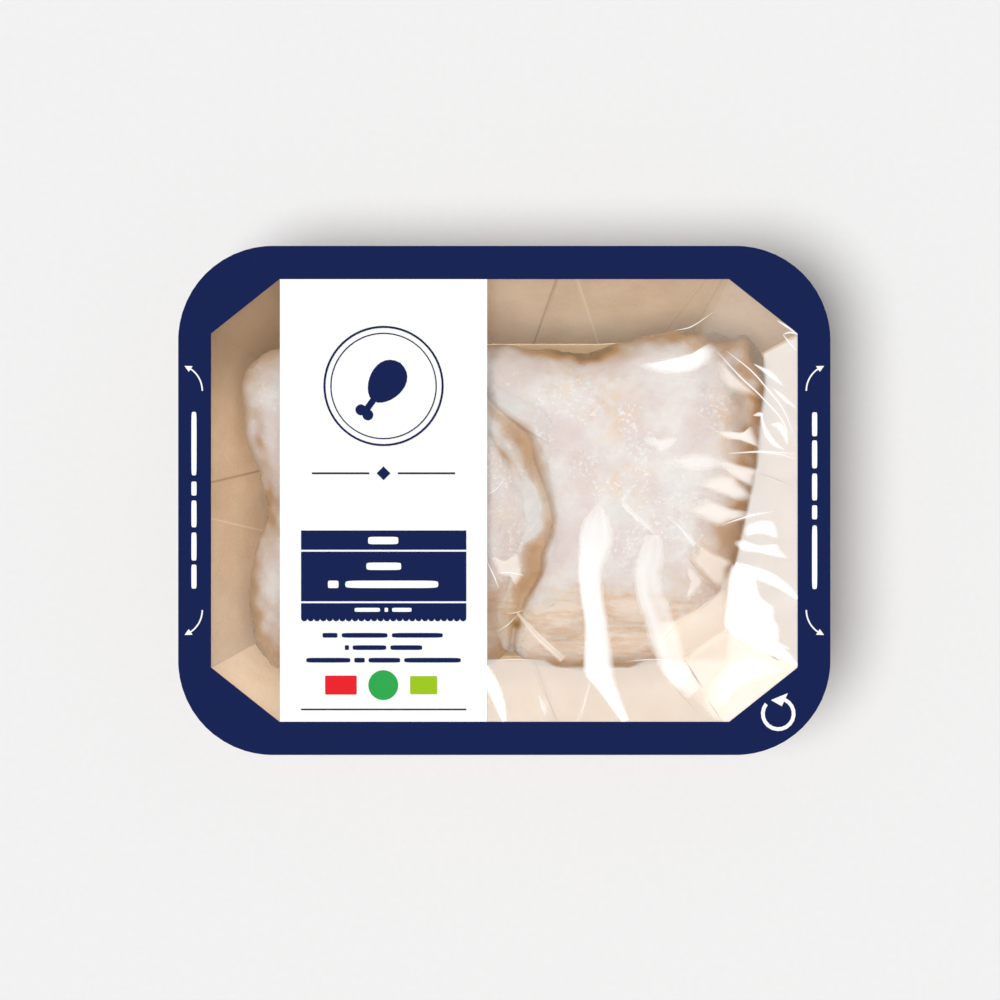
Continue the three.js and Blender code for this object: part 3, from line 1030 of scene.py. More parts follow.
    def keep_inside(self, points: Array, gap: float) -> Array:
        """Holds points clear of the sloping walls and the cut corners at their height.

        Args:
            points: Points of shape (..., 3).
            gap: Clearance from the wall.

        Returns:
            The points, moved inwards where they reach the wall.
        """
        x, y, z = (points[..., axis] for axis in range(3))
        share = (z - self.board) / (self.depth - self.board)
        half_x, half_y, cut_x, cut_y = (self.between_levels(key, share)
                                        for key in ("half_x", "half_y", "cut_x", "cut_y"))
        limit_x, limit_y = half_x - gap, half_y - gap
        abs_x, abs_y = np.minimum(np.abs(x), limit_x), np.minimum(np.abs(y), limit_y)
        excess = (abs_x - limit_x) / cut_x + (abs_y - limit_y) / cut_y + 1.0
        excess = np.maximum(excess, 0.0)
        abs_x, abs_y = abs_x - excess * cut_x / 2.0, abs_y - excess * cut_y / 2.0
        return np.stack([np.sign(x) * abs_x, np.sign(y) * abs_y, z], axis=-1)


# Thighs


# The line where the two thighs meet, from the top of the pack to the bottom
VALLEY = ((-17, 52), (-5, 34), (7, 24), (10.5, 13), (15.5, -1), (16, -10), (12.6, -19), (12, -26),
          (7, -35), (4, -44), (2.5, -54))

# Painted shade where the valley closes, in the dark hole between the thighs
VALLEY_END_SHADE = Mound((4.2, -44), (1.5, 1.5), 0, 1.3)


def valley_side(side: int, narrow: float = 0.45, wide: float = 1.6) -> list[tuple[float, float]]:
    """The valley's points moved to one side, further at the ends where the outlines turn away.

    Args:
        side: -1 for the left side and 1 for the right one.
        narrow: How far the points move between the ends.
        wide: How far they move at the ends.

    Returns:
        The moved points.
    """
    gaps = [wide] + [narrow] * (len(VALLEY) - 2) + [wide]
    return [(x + side * gap, y) for (x, y), gap in zip(VALLEY, gaps)]


def valley_distance(x: Array, y: Array) -> Array:
    """Distance from each place to the valley's line."""
    return distance_to(np.array(VALLEY, float), x, y)


@dataclass
class Thigh:
    """One skin-on thigh: a full rounded section swept round its outline, with relief on top.

    Each tone is a list of mounds, which add up to the share of that tone. Each row of the lip
    says how wide and how strong the painted shade along the valley is at a place along y. Each
    ripple is drawn from the thigh's seed plus its own draw.
    """

    name: str
    outline: list[tuple[float, float]]
    middle: tuple[float, float]
    mounds: list[Mound]
    fat: list[Mound]
    flesh: list[Mound]
    # Mounds of painted shade, partly the skin's own browner colour at its edges
    brown_and_shade: list[Mound]
    lip: tuple[tuple[float, float, float], ...]
    bank: tuple[float, float]
    seed: int
    tray: Tray
    low: float = 1.2
    high: float = 48.6
    widest: float = 26.0
    fullness: float = 0.62
    bank_rise: tuple[float, float] = (0.0, 25.0)
    bank_reach: tuple[float, float] = (2.0, 26.0)
    calmness: float = 14.0
    bend: float = 4.0
    columns: int = 430
    rows: int = 190
    halvings: int = 20
    wall_gap: float = 1.3
    relief_room: float = 0.5
    lumps: Ripple = Ripple(0.30, 9.0, 26.0, 0)
    grains: Ripple = Ripple(0.09, 3.2, 7.0, 1)
    creases: Ripple = Ripple(1.0, 5.0, 11.0, 2)
    crease_height: float = 0.30
    plain_creasing: float = 0.2
    fibres: Ripple = Ripple(0.13, 1.6, 3.6, 4)
    fibre_draw: float = 0.22
    flesh_edge: Ripple = Ripple(0.12, 4.0, 12.0, 5)
    flesh_span: tuple[float, float] = (0.35, 0.75)
    side_edge: Ripple = Ripple(0.06, 6.0, 18.0, 6)
    side_span: tuple[float, float] = (0.80, 0.35)
    ragged: Ripple = Ripple(0.35, 5.0, 14.0, 7)
    # How ragged, how sharp-edged and how high the painted shade along the valley lies
    lip_ragged: float = 0.3
    lip_edge: float = 0.75
    lip_span: tuple[float, float] = (0.3, 0.6)
    # Painted shade on the lower sides, and the most painted shade of all
    side_painted_shade: float = 0.85
    most_shade: float = 1.7
    least_fat: float = 0.06
    side_fat: float = 0.3

    def spokes(self) -> tuple[Array, Array, Array, Array]:
        """The outline seen from the middle.

        The calmer distance is the mean over the nearby angles, with the weight
        exp(calmness (cos(turn) - 1)).

        Returns:
            Its angle, its distance, its calmer distance and the section's fullness, each of
            shape (columns,).
        """
        ring = closed_curve(self.outline, self.columns)
        dx, dy = (ring - np.array(self.middle)).T
        angle, distance = np.arctan2(dy, dx), np.hypot(dx, dy)
        share = np.abs(np.gradient(np.unwrap(angle)))
        near = share * np.exp(self.calmness * (np.cos(angle[:, None] - angle) - 1.0))
        calm = near @ distance / near.sum(axis=1)
        return angle, distance, calm, self.section_fullness(ring[:, 0], ring[:, 1])

    def form(self) -> tuple[Array, Array]:
        """The plain form that the solid has too.

        The reach from the middle shrinks as the cosine of the climb angle and the height
        grows as its sine, both raised to the fullness, which is lower along the valley. The
        distance is reach (calm + (distance - calm) reach^bend), so the rim's bends fade inwards.

        Returns:
            Points of shape (rows, columns, 3) and the lift of each, from -1 to 1.
        """
        angle, distance, calm, fullness = self.spokes()
        climb = (math.pi * (np.arange(1, self.rows) / self.rows - 0.5))[:, None]
        reach = np.cos(climb) ** fullness
        lift = np.sign(climb) * np.abs(np.sin(climb)) ** fullness
        away = reach * (calm + (distance - calm) * reach ** self.bend)
        x = self.middle[0] + away * np.cos(angle)
        y = self.middle[1] + away * np.sin(angle)
        return np.stack([x, y, self.heights(x, y, lift)], axis=-1), lift

    def over(self, x: Array, y: Array) -> Array:
        """Height of the upper half over each place, or the lowest height outside the outline.

        The reach that leads to a place is found by halving the span that holds it.

        Args:
            x: First coordinate.
            y: Second coordinate.

        Returns:
            Heights of the shape of x.
        """
        dx, dy = x - self.middle[0], y - self.middle[1]
        seen, away = np.arctan2(dy, dx), np.hypot(dx, dy)
        angle, *values = self.spokes()
        order = np.argsort(angle)
        rim, calm, power = (np.interp(seen, angle[order], value[order], period=2 * math.pi)
                            for value in values)
        near, far = np.zeros_like(x), np.ones_like(x)
        for _ in range(self.halvings):
            half = 0.5 * (near + far)
            beyond = half * (calm + (rim - calm) * half ** self.bend) > away
            near, far = np.where(beyond, near, half), np.where(beyond, half, far)
        lift = np.sqrt(1.0 - far ** (2.0 / power)) ** power
        return np.where(away < rim, self.heights(x, y, lift), self.low)

    def section_fullness(self, x: Array, y: Array) -> Array:
        """Fullness of the section through each place of the outline, lower near the valley.

        Args:
            x: First coordinate.
            y: Second coordinate.

        Returns:
            Powers of the shape of x.
        """
        lower, upper = self.bank
        near = lower + (upper - lower) * smooth(*self.bank_rise, y)
        away = smooth(*self.bank_reach, valley_distance(x, y))
        return near + (self.fullness - near) * away

    def heights(self, x: Array, y: Array, lift: Array) -> Array:
        """Height of the surface at a lift, with the mounds on its upper half.

        Args:
            x: First coordinate.
            y: Second coordinate.
            lift: From -1 at the underside, over 0 where it is widest, to 1 at the top.

        Returns:
            Heights of the shape of x.
        """
        span = np.where(lift < 0.0, self.widest - self.low, self.high - self.widest)
        relief = total(self.mounds, x, y) * np.maximum(lift, 0.0)
        return np.minimum(self.widest + lift * span + relief, self.high)

    def detail(self, x: Array, y: Array, flesh: Array, side: Array) -> Array:
        """Outward moves of the surface: lumps, creased skin and, on bare flesh, fibres.

        A crease is (1 - |noise|)^2 high, and fibres are noise drawn out along x.

        Args:
            x: First coordinate.
            y: Second coordinate.
            flesh: Share of bare flesh.
            side: How far down the side it lies, from 0 to 1.

        Returns:
            Moves in millimetres.
        """
        lumps = self.lumps.at(x, y, self.seed) + self.grains.at(x, y, self.seed)
        folds = np.clip(1.0 - np.abs(self.creases.at(x, y, self.seed)), 0.0, 1.0)
        creased = self.crease_height * folds ** 2 * (self.plain_creasing + side)
        return lumps + creased + flesh * self.fibres.at(self.fibre_draw * x, y, self.seed)

    def valley_painted_shade(self, x: Array, y: Array, lift: Array, ragged: Array) -> Array:
        """Painted shade along the valley: t (2 - t), where t falls to 0 at the lip's width from its
        line.

        Args:
            x: First coordinate.
            y: Second coordinate.
            lift: From -1 at the underside to 1 at the top.
            ragged: How ragged its edge is, about 1.

        Returns:
            Shares of the shape of x.
        """
        rows = np.array(self.lip)
        uneven = 1.0 - self.lip_ragged + self.lip_ragged * ragged
        width = np.interp(y, rows[:, 0], rows[:, 1]) * uneven
        share = np.clip((1.0 - valley_distance(x, y) / width) / self.lip_edge, 0.0, 1.0)
        strength = np.interp(y, rows[:, 0], rows[:, 2])
        return strength * share * (2.0 - share) * smooth(*self.lip_span, lift)

    def tones(self, x: Array, y: Array, lift: Array) -> dict[str, Array]:
        """Shares of fat, bare flesh and painted shade, which lies low on the sides and in the hollows,
        partly the skin's own browner colour at its edges.

        Args:
            x: First coordinate.
            y: Second coordinate.
            lift: From -1 at the underside to 1 at the top.

        Returns:
            The tones by name, and how far down the side each place lies.
        """
        bare = total(self.flesh, x, y) + self.flesh_edge.at(x, y, self.seed)
        side = smooth(*self.side_span, lift + self.side_edge.at(x, y, self.seed))
        ragged = 1.0 + self.ragged.at(x, y, self.seed)
        lip = self.valley_painted_shade(x, y, lift, ragged)
        # Painted shade: on the lower sides, along the valley and in the mounds
        brown_and_shade = self.side_painted_shade * side + lip + total(self.brown_and_shade, x, y) * ragged
        fat = self.least_fat + total(self.fat, x, y) + self.side_fat * side
        return {"flesh": smooth(*self.flesh_span, bare), "shade": np.clip(brown_and_shade, 0.0, self.most_shade),
                "fat": np.clip(fat, 0.0, 1.0), "side": side}

    def build(self) -> None:
        """Makes the thigh, its tones and its finish."""
        points, lift = self.form()
        x, y = points[..., 0], points[..., 1]
        tones = self.tones(x, y, lift)
        moves = self.detail(x, y, tones["flesh"], tones["side"])
        moved = points + surface_normals(points) * moves[..., None]
        moved[..., 2] = np.clip(moved[..., 2], self.low, self.high + self.relief_room)
        moved = self.tray.keep_inside(moved, self.wall_gap)
        first = np.array([*self.middle, self.low])
        last = np.array([*self.middle, float(moved[-1, :, 2].mean())])
        piece = loft(self.name, moved, first, last)
        for key in TONES:
            ends = [tones[key][0].mean(), tones[key][-1].mean()]
            paint(piece, key, np.concatenate([tones[key].ravel(), ends]))
        settle(piece, "chicken_skin", raw_skin(), self.name.replace("_skin", ""))


def raw_skin() -> bpy.types.Material:
    """The skin's material, made once."""
    return bpy.data.materials.get("raw_skin") or Skin().build()


@dataclass
class ValleyFold:
    """The soft skin that joins the thighs at the bottom of the valley, with painted shade there.

    It fills the valley up to the height given at each of its points, eases into both banks
    and takes its tones from them, with painted shade along its bottom.
    """

    left: Thigh
    right: Thigh
    half_width: float = 10.0
    end_narrowing: float = 0.8
    end_power: float = 8.0
    ease: float = 6.5
    edge_fade: float = 0.6
    sunk: float = 0.3
    thickness: float = 1.0
    count: int = 220
    across: int = 49
    lumps: Ripple = Ripple(0.3, 4.0, 12.0, 71)
    # How the painted shade at the valley's bottom fades across it, and how strong it is at each point
    valley_shade_span: tuple[float, float] = (2.4, 0.6)
    heights: tuple[float, ...] = (40, 44.5, 44.5, 42.5, 41, 41, 42, 41.5, 39.5, 37, 33)
    valley_shades: tuple[float, ...] = (0.2, 0.35, 0.8, 0.8, 0.55, 0.7, 0.85, 0.9, 0.8, 0.45, 0.3)

    def top(self, x: Array, y: Array, fill: Array, share: Array) -> Array:
        """Height of its upper face: the smooth greater of the banks and the fill.

        With gap = |banks - fill|, it is the greater one plus max(ease - gap, 0)^2 / (4 ease).
        What that adds to the banks fades out where the share of the half width nears 1.

        Args:
            x: First coordinate.
            y: Second coordinate.
            fill: Height up to which the valley is filled.
            share: Share of the half width, from -1 to 1.

        Returns:
            Heights of the shape of x.
        """
        banks = np.maximum(self.left.over(x, y), self.right.over(x, y))
        round_off = np.maximum(self.ease - np.abs(banks - fill), 0.0) ** 2 / (4.0 * self.ease)
        added = np.maximum(fill - banks, 0.0) + round_off
        return banks + added * smooth(1.0, self.edge_fade, np.abs(share)) - self.sunk

    def build(self) -> None:
        """A closed ribbon along the valley, narrower at its ends."""
        spine = through(np.column_stack([VALLEY, self.heights, self.valley_shades]), self.count)
        along = np.gradient(spine[:, :2], axis=0)
        along /= np.linalg.norm(along, axis=1, keepdims=True)
        normal = np.stack([-along[:, 1], along[:, 0]], axis=1)
        share = np.linspace(1.0, -1.0, self.across)
        ends = np.abs(np.linspace(-1.0, 1.0, self.count)) ** self.end_power
        reach = self.half_width * (1.0 - self.end_narrowing * ends)
        flat = spine[:, None, :2] + normal[:, None] * (share * reach[:, None])[..., None]
        x, y = flat[..., 0], flat[..., 1]
        fill = spine[:, 2:3] + self.lumps.at(x, y)
        upper = np.stack([x, y, self.top(x, y, fill, share)], axis=-1)
        under = upper[:, ::-1] - np.array([0.0, 0.0, self.thickness])
        rows = np.concatenate([upper, under], axis=1)
        piece = loft("valley_skin", rows, rows[0].mean(axis=0), rows[-1].mean(axis=0))
        tones = self.tones(x, y, spine[:, 3:4])
        for key in TONES:
            both = np.concatenate([tones[key], tones[key][:, ::-1]], axis=1)
            paint(piece, key, np.concatenate([both.ravel(), [both[0].mean(), both[-1].mean()]]))
        settle(piece, "chicken_skin", raw_skin(), "thigh_right")

    def tones(self, x: Array, y: Array, brown_and_shade: Array) -> dict[str, Array]:
        """The nearer thigh's tones, with painted shade at the bottom of the valley.

        Args:
            x: First coordinate.
            y: Second coordinate.
            brown_and_shade: Share of painted shade at the bottom.

        Returns:
            The tones by name.
        """
        nearer = self.left.over(x, y) > self.right.over(x, y)
        sides = [thigh.tones(x, y, np.ones_like(x)) for thigh in (self.left, self.right)]
        tones = {key: np.where(nearer, *(side[key] for side in sides)) for key in TONES}
        # Painted shade along the valley's bottom
        bottom = brown_and_shade * smooth(*self.valley_shade_span, valley_distance(x, y))
        tones["shade"] = np.maximum(tones["shade"], bottom)
        return tones


def surface_normals(points: Array) -> Array:
    """Outward unit normals of a ringed surface: the cross product of its two grid directions.

    Args:
        points: Rings of shape (rows, columns, 3).

    Returns:
        Normals of the same shape.
    """
    around = np.roll(points, -1, 1) - np.roll(points, 1, 1)
    cross = np.cross(around, np.gradient(points, axis=0))
    return cross / np.maximum(np.linalg.norm(cross, axis=-1, keepdims=True), TINY)


def right_thigh(tray: Tray) -> Thigh:
    """The thigh right of the valley, whose skin side shows in the window.

    Args:
        tray: The tray that holds it.

    Returns:
        The thigh.
    """
    rim = [(14, -59), (32, -60.5), (50, -59), (68, -52), (80, -42), (82.7, -22), (87.2, -5),
           (91.6, 15), (94, 33.5), (94.6, 46), (90.5, 55.5), (85.3, 59.2), (81, 57.7), (76, 59.6),
           (62, 60.6), (49, 58.7), (29, 53), (-2, 55.5)]
    mounds = [
        Mound((84, 40), (22, 4), 96, -5),
        Mound((85, 56), (7, 5), 20, 5),
        Mound((40, -44), (34, 12), 4, -7),
        Mound((22, -44), (9, 5), 10, 4),
        Mound((46, -41), (10, 5), -8, 4),
        Mound((30, 52), (12, 5), 0, -4),
        Mound((66, 52), (16, 5), 0, 3),
    ]
    fat = [Mound((68, 57), (20, 5), 0, 1), Mound((38, 31), (7, 9), 20, 0.8),
           Mound((42, 8), (8, 6), 0, 0.7), Mound((80, 26), (8, 12), 70, 0.7),
           Mound((24, 44), (14, 6), 10, 0.5), Mound((70, -22), (12, 10), 40, 0.6)]
    flesh = [Mound((32, -44.5), (44, 15.5), 3, 1.1)]
    # Painted shade at the edges and at the valley's end, partly the skin's own browner colour along the
    # top edge
    brown_and_shade = [Mound((60, 57.5), (14, 2.6), 3, 0.4), Mound((76, 57.5), (11, 4.5), 0, 1.1),
             Mound((90, 49), (8.5, 11), 10, 0.95), Mound((90.5, 36), (7, 12), 6, 0.7),
             Mound((86, 14), (7, 14), -8, 0.8), Mound((81, -10), (8, 11), -20, 0.8),
             Mound((76, -26), (6, 8), -30, 0.5), Mound((31, 53), (13, 2.6), -3, 0.9),
             Mound((27, 51), (9, 2.2), -4, 1.2), Mound((84, 54), (3, 3.5), 20, -0.5),
             Mound((40, -60), (26, 2.2), 0, 0.1), Mound((31, -59), (11, 3.2), 0, 0.5), VALLEY_END_SHADE]
    lip = ((-50, 2, 0.2), (-36, 2.5, 0.6), (-26, 2.6, 0.7), (-16, 3.0, 0.7), (-6, 3.4, 0.6),
           (4, 3.4, 0.5), (13, 5.0, 0.65), (24, 4.2, 0.6), (32, 2.4, 0.3), (44, 2, 0.1))
    return Thigh(name="thigh_right_skin", outline=rim + valley_side(1), middle=(48, 0), mounds=mounds,
                 fat=fat, flesh=flesh, brown_and_shade=brown_and_shade, lip=lip, bank=(0.36, 0.42), seed=21, tray=tray)


def left_thigh(tray: Tray) -> Thigh:
    """The thigh left of the valley, mostly under the label band.

    Args:
        tray: The tray that holds it.

    Returns:
        The thigh.
    """
    rim = [(-34, 56.5), (-59, 56.5), (-80, 54.5), (-92, 47), (-94, 32), (-88, 10), (-84.5, -4.5),
           (-90, -22), (-90, -45), (-82, -60), (-60, -64), (-30, -62), (-8, -60)]
    mounds = [
        Mound((-84, -4), (14, 7), 0, -7),
        Mound((0, 16), (9, 1.4), -54, -2),
        Mound((4.6, 17), (9, 2.6), -57, 1.2),
        Mound((-2, -44), (14, 8), 60, -6),
        Mound((-60, 26), (26, 20), 0, 2),
        Mound((-30, -20), (30, 26), 20, 2),
    ]
    fat = [Mound((-2, -46), (16, 10), 60, 1), Mound((6, 18), (14, 4), 128, 0.8),
           Mound((-82, -50), (6, 12), 10, 0.5), Mound((0, -4), (8, 24), 10, 0.2)]
    flesh = [Mound((-1, -41), (12, 12), 0, 1.1)]
    # Painted shade along the waist, the lower lobe and the valley
    brown_and_shade = [Mound((-82, -4), (5, 14), 0, 0.75), Mound((-84, -50), (9, 11), 10, 0.5),
             Mound((-86, 22), (2, 10), 8, 0.5), Mound((-89, -30), (4, 18), 0, 0.5),
             Mound((0, 16), (9, 0.8), -54, 0.55), Mound((2, 22), (7, 3), -52, 0.45),
             Mound((-3, -40), (8, 11), 0, 0.4), VALLEY_END_SHADE]
    lip = ((-50, 2, 0.25), (-36, 4.0, 0.7), (-30, 7.5, 0.9), (-16, 8.0, 0.9), (-11, 3.6, 0.6),
           (0, 2.4, 0.4), (10, 4, 0.6), (20, 4, 0.7), (28, 4, 0.6), (40, 2, 0.2))
    return Thigh(name="thigh_left_skin", outline=valley_side(-1)[::-1] + rim, middle=(-42, -3),
                 mounds=mounds, fat=fat, flesh=flesh, brown_and_shade=brown_and_shade, lip=lip, bank=(0.58, 0.38),
                 seed=47, tray=tray)


# Lid film


@dataclass(frozen=True)
class Fold:
    """A painted highlight along a film fold, as a flat ribbon along a soft path; coloured, it paints a
    shadow line.

    Each knot is (x, y, width, milk), the last its share of painted glare. That glare fades out
    over a share of the width at the left and at the right edge, looking along the path.
    """

    knots: tuple[tuple[float, float, float, float], ...]
    fade: tuple[float, float] = (0.35, 0.35)
    tint: float = 0.0
    rows: int = 48
    columns: int = 16
    least_width: float = 0.05
    least_fade: float = 1e-6
    streaks: Ripple = Ripple(1.0, 2.0, 6.0, 91)
    streak_run: float = 4.0
    streak_draw: float = 8.0
    streak_share: float = 0.16
    streak_span: tuple[float, float] = (0.97, 0.65)

    def mesh(self) -> tuple[Array, Array, list[Array]]:
        """The ribbon's flat mesh.

        The painted glare is weakened in streaks along the ribbon, by 1 - share (1 + noise), where
        the share is less for a fold whose glare is nearly full.

        Returns:
            Places of shape (count, 2), the painted glare of each, and arrays of faces.
        """
        path = through(self.knots, self.rows)
        spine, width, milk = path[:, :2], np.maximum(path[:, 2], self.least_width), path[:, 3]
        along = np.gradient(spine, axis=0)
        along /= np.maximum(np.linalg.norm(along, axis=1, keepdims=True), TINY)
        across = np.stack([-along[:, 1], along[:, 0]], axis=1)
        share, run = np.meshgrid(np.linspace(1.0, 0.0, self.columns),
                                 np.linspace(0.0, self.streak_run, self.rows))
        flat = spine[:, None] + across[:, None] * ((share - 0.5) * width[:, None])[..., None]
        left = smooth(0.0, max(self.fade[0], self.least_fade), 1.0 - share)
        right = smooth(0.0, max(self.fade[1], self.least_fade), share)
        weak = self.streak_share * smooth(*self.streak_span, milk)[:, None]
        streaks = 1.0 - weak * (1.0 + self.streaks.at(self.streak_draw * share, run))
        faces = [grid_quads(self.rows, self.columns, False)[:, ::-1]]
        return flat.reshape(-1, 2), (milk[:, None] * left * right * streaks).ravel(), faces


def line(*places: tuple[float, float], width: float = 0.7, milk: float = 0.95,
         tint: float = 0.0) -> Fold:
    """A thin painted line along a film fold, pointed at both ends: a glint when white, a painted shadow
    when coloured.

    Args:
        places: The points that it goes through.
        width: Its width between the ends.
        milk: Its share of painted glare.
        tint: 1 for a brownish painted crease shadow and -1 for a bluish painted fold shadow.

    Returns:
        The line as a narrow fold with sharp edges.
    """
    point = 0.15
    ends = (0, len(places) - 1)
    knots = [(x, y, width * (point if i in ends else 1.0), milk) for i, (x, y) in enumerate(places)]
    return Fold(tuple(knots), fade=(0.0, 0.0), tint=tint, rows=40, columns=4)


@dataclass(frozen=True)
class Patch:
    """A painted glare of the film inside an outline, for folds that are nearly as wide as long.

    The painted glare rises from none at the outline to its full share over the soft part of the
    way to the middle, and the core is more glare that grows from there to the middle.
    """

    outline: tuple[tuple[float, float], ...]
    milk: float
    soft: float = 0.3
    tint: float = 0.0
    core: float = 0.0
    core_end: float = 0.9
    closeness: float = 1.5
    rows: int = 16
    columns: int = 120

    def mesh(self) -> tuple[Array, Array, list[Array]]:
        """The patch's flat mesh, in rings from the outline to the middle.

        Returns:
            Places of shape (count, 2), the painted glare of each, and arrays of faces.
        """
        ring = closed_curve(self.outline[::-1], self.columns)
        middle = ring.mean(axis=0)
        share = (np.arange(self.rows) / self.rows) ** self.closeness
        flat = ring + (middle - ring) * share[:, None, None]
        core = self.core * smooth(0.5 * self.soft, self.core_end, share)
        milk = self.milk * smooth(0.0, self.soft, share) + core
        places = np.vstack([flat.reshape(-1, 2), middle])
        last = np.arange(self.columns) + (self.rows - 1) * self.columns
        faces = [grid_quads(self.rows, self.columns, True), fan(self.rows * self.columns, last, False)]
        return places, np.append(np.repeat(milk, self.columns), self.milk + self.core), faces


# Painted glare where the film is pulled into wide folds, at the corner and beside the right thigh
GLARE_PATCHES = {
    "corner_base": Patch((
        (74.5, -31), (78.5, -24), (84, -34), (95, -48), (103, -58.8), (91.5, -68.6), (79.5, -77.6),
        (73, -77), (64, -68), (56, -62), (52, -54), (53, -46), (60, -41), (68, -37)), 0.42, 0.16, 0.32),
    "corner_veil": Patch((
        (73.8, -32.6), (78.1, -29.3), (79.7, -35), (80, -42.5), (79.3, -47.2), (71.7, -52.4),
        (63.1, -56.9), (54.9, -56.5), (50.9, -51.3), (52, -43.1), (56.7, -42), (61.4, -39.6),
        (68.3, -36.4)), 0.5, 0.3, 0.35),
    "corner_foot": Patch((
        (54.4, -56.8), (63.2, -56.1), (66.3, -61.5), (64.3, -64.7), (61.1, -66.7), (56.7, -63.5)),
        0.55, 0.4, 0.2),
    "corner_low": Patch((
        (78.4, -44.9), (88.2, -50.9), (96, -55.3), (103.4, -58.4), (92, -69), (79.5, -78.2),
        (74.9, -77.4), (70.3, -73.4), (68.6, -65.8), (65.4, -61.2), (62.6, -55.4)), 0.5, 0.1, 0.26),
    "corner_high": Patch((
        (78.3, -24.5), (80.3, -21.7), (87, -24.8), (89.6, -33.2), (94.3, -37.3), (94.6, -41.4),
        (96.3, -44.9), (95.8, -51.3), (88.4, -52.6), (77.8, -46), (76.4, -42.5), (77.3, -33.8)),
        0.88, 0.14),
    "corner_glow": Patch((
        (69.8, -66.5), (74, -59.6), (80.6, -53.6), (88.7, -52), (96.5, -55), (99.5, -58.6), (93, -61.5),
        (86, -64), (79.5, -68.6), (74.5, -74.5), (70.8, -73)), 0.8, 0.75),
    "corner_panel": Patch((
        (66, -13.9), (71.8, -16.9), (80.1, -21.1), (78.3, -24.5), (77.7, -30.3), (74.8, -31.2),
        (69.5, -25.6), (64.6, -20.4), (67.2, -16.3)), 0.66, 0.45, 0.3),
    "corner_sliver": Patch((
        (63.2, -21.4), (65.1, -21.1), (69.8, -27.4), (68.9, -30.6), (64.3, -36.1), (62.8, -35.8),
        (65.1, -27.4), (63.2, -23.9)), 0.6, 0.6, 0.25),
    "upper_leaf": Patch((
        (46.4, 47.2), (54.9, 49.3), (62.4, 51), (67.3, 52.3), (70.4, 54.4), (73.3, 55.4),
        (74.6, 52.2), (72.3, 48.3), (68.1, 45.3), (62.9, 44), (55.9, 43.9), (49.4, 45.2)),
        0.9, 0.45, 0.0, 0.1),
    "upper_veil": Patch((
        (74.3, 49.9), (78.3, 46.4), (82.3, 42.7), (86.8, 38.5), (89.8, 35.7), (83.8, 36.2),
        (78.3, 38.2), (74.6, 43), (73.3, 47.4)), 0.72, 0.75, 0.25),
    "side_leaf_1": Patch((
        (72.4, 24.2), (76.8, 24.6), (82.3, 24.1), (85, 24.6), (86.8, 26.4), (88.1, 23.8),
        (90.1, 18.4), (86.7, 19.2), (82.3, 20.7), (76.8, 21.5)), 0.8, 0.5, 0.2, 0.15),
    "side_leaf_2": Patch((
        (55, 13.8), (59.9, 16.4), (67.3, 17.4), (76.5, 15.8), (81.6, 12.5), (74.7, 10.2),
        (66.1, 10), (59.3, 11.1)), 0.58, 0.7, 0.12, 0.1),
    "side_leaf_3": Patch((
        (75.4, 14.2), (82.3, 12.9), (89.4, 10.7), (88.5, 7.7), (87.2, 4.4), (82.3, 6.2),
        (78.7, 8.4), (75.4, 11.1)), 0.74, 0.5, 0.2, 0.15),
    "side_leaf_4": Patch((
        (66.1, 5.8), (70.7, 8.6), (76.1, 10.3), (80.9, 9.6), (83.2, 6.2), (88, 0.6),
        (83, -0.9), (77.2, 0.9), (71.4, 3.6)), 0.74, 0.55, 0.2, 0.15),
    "side_leaf_5": Patch((
        (62, -3), (66.5, 0.2), (71.6, 1), (76.5, -1), (81.1, -2.7), (86.9, -4), (86.4, -6.8),
        (80.6, -8.1), (75.7, -9.8), (71, -8.2), (66.5, -5.8)), 0.76, 0.55, 0.2, 0.15),
    "side_leaf_6": Patch((
        (83.8, -9), (88.7, -6.9), (94, -7.1), (95.8, -10.5), (95.8, -13.5), (91.7, -12.1),
        (87.6, -11.8), (84.1, -12.5)), 0.96, 0.35),
    "side_leaf_7": Patch((
        (79.4, -14.7), (82.6, -13.5), (88.7, -15.5), (95.8, -15.1), (97.5, -17.8), (100.1, -20.5),
        (94.6, -19.7), (87.6, -18.2), (82.6, -17.5)), 0.96, 0.35),
    "valley_star": Patch((
        (-4.8, -19), (0, -20.6), (4.8, -17.6), (5.6, -22), (6.9, -26.4), (4.2, -30.4),
        (2.2, -27.4), (-2.2, -26), (-3.6, -23)),
        0.66, 0.4, 0.25),
    "middle_leaf": Patch((
        (46.6, 22), (50, 22.8), (54, 21.6), (58, 22.4), (61.8, 22.2), (60.8, 19.4), (57.6, 16.8),
        (54.6, 16), (52, 18.4), (48.6, 19.4)), 0.44, 0.55, -0.05, 0.1),
}

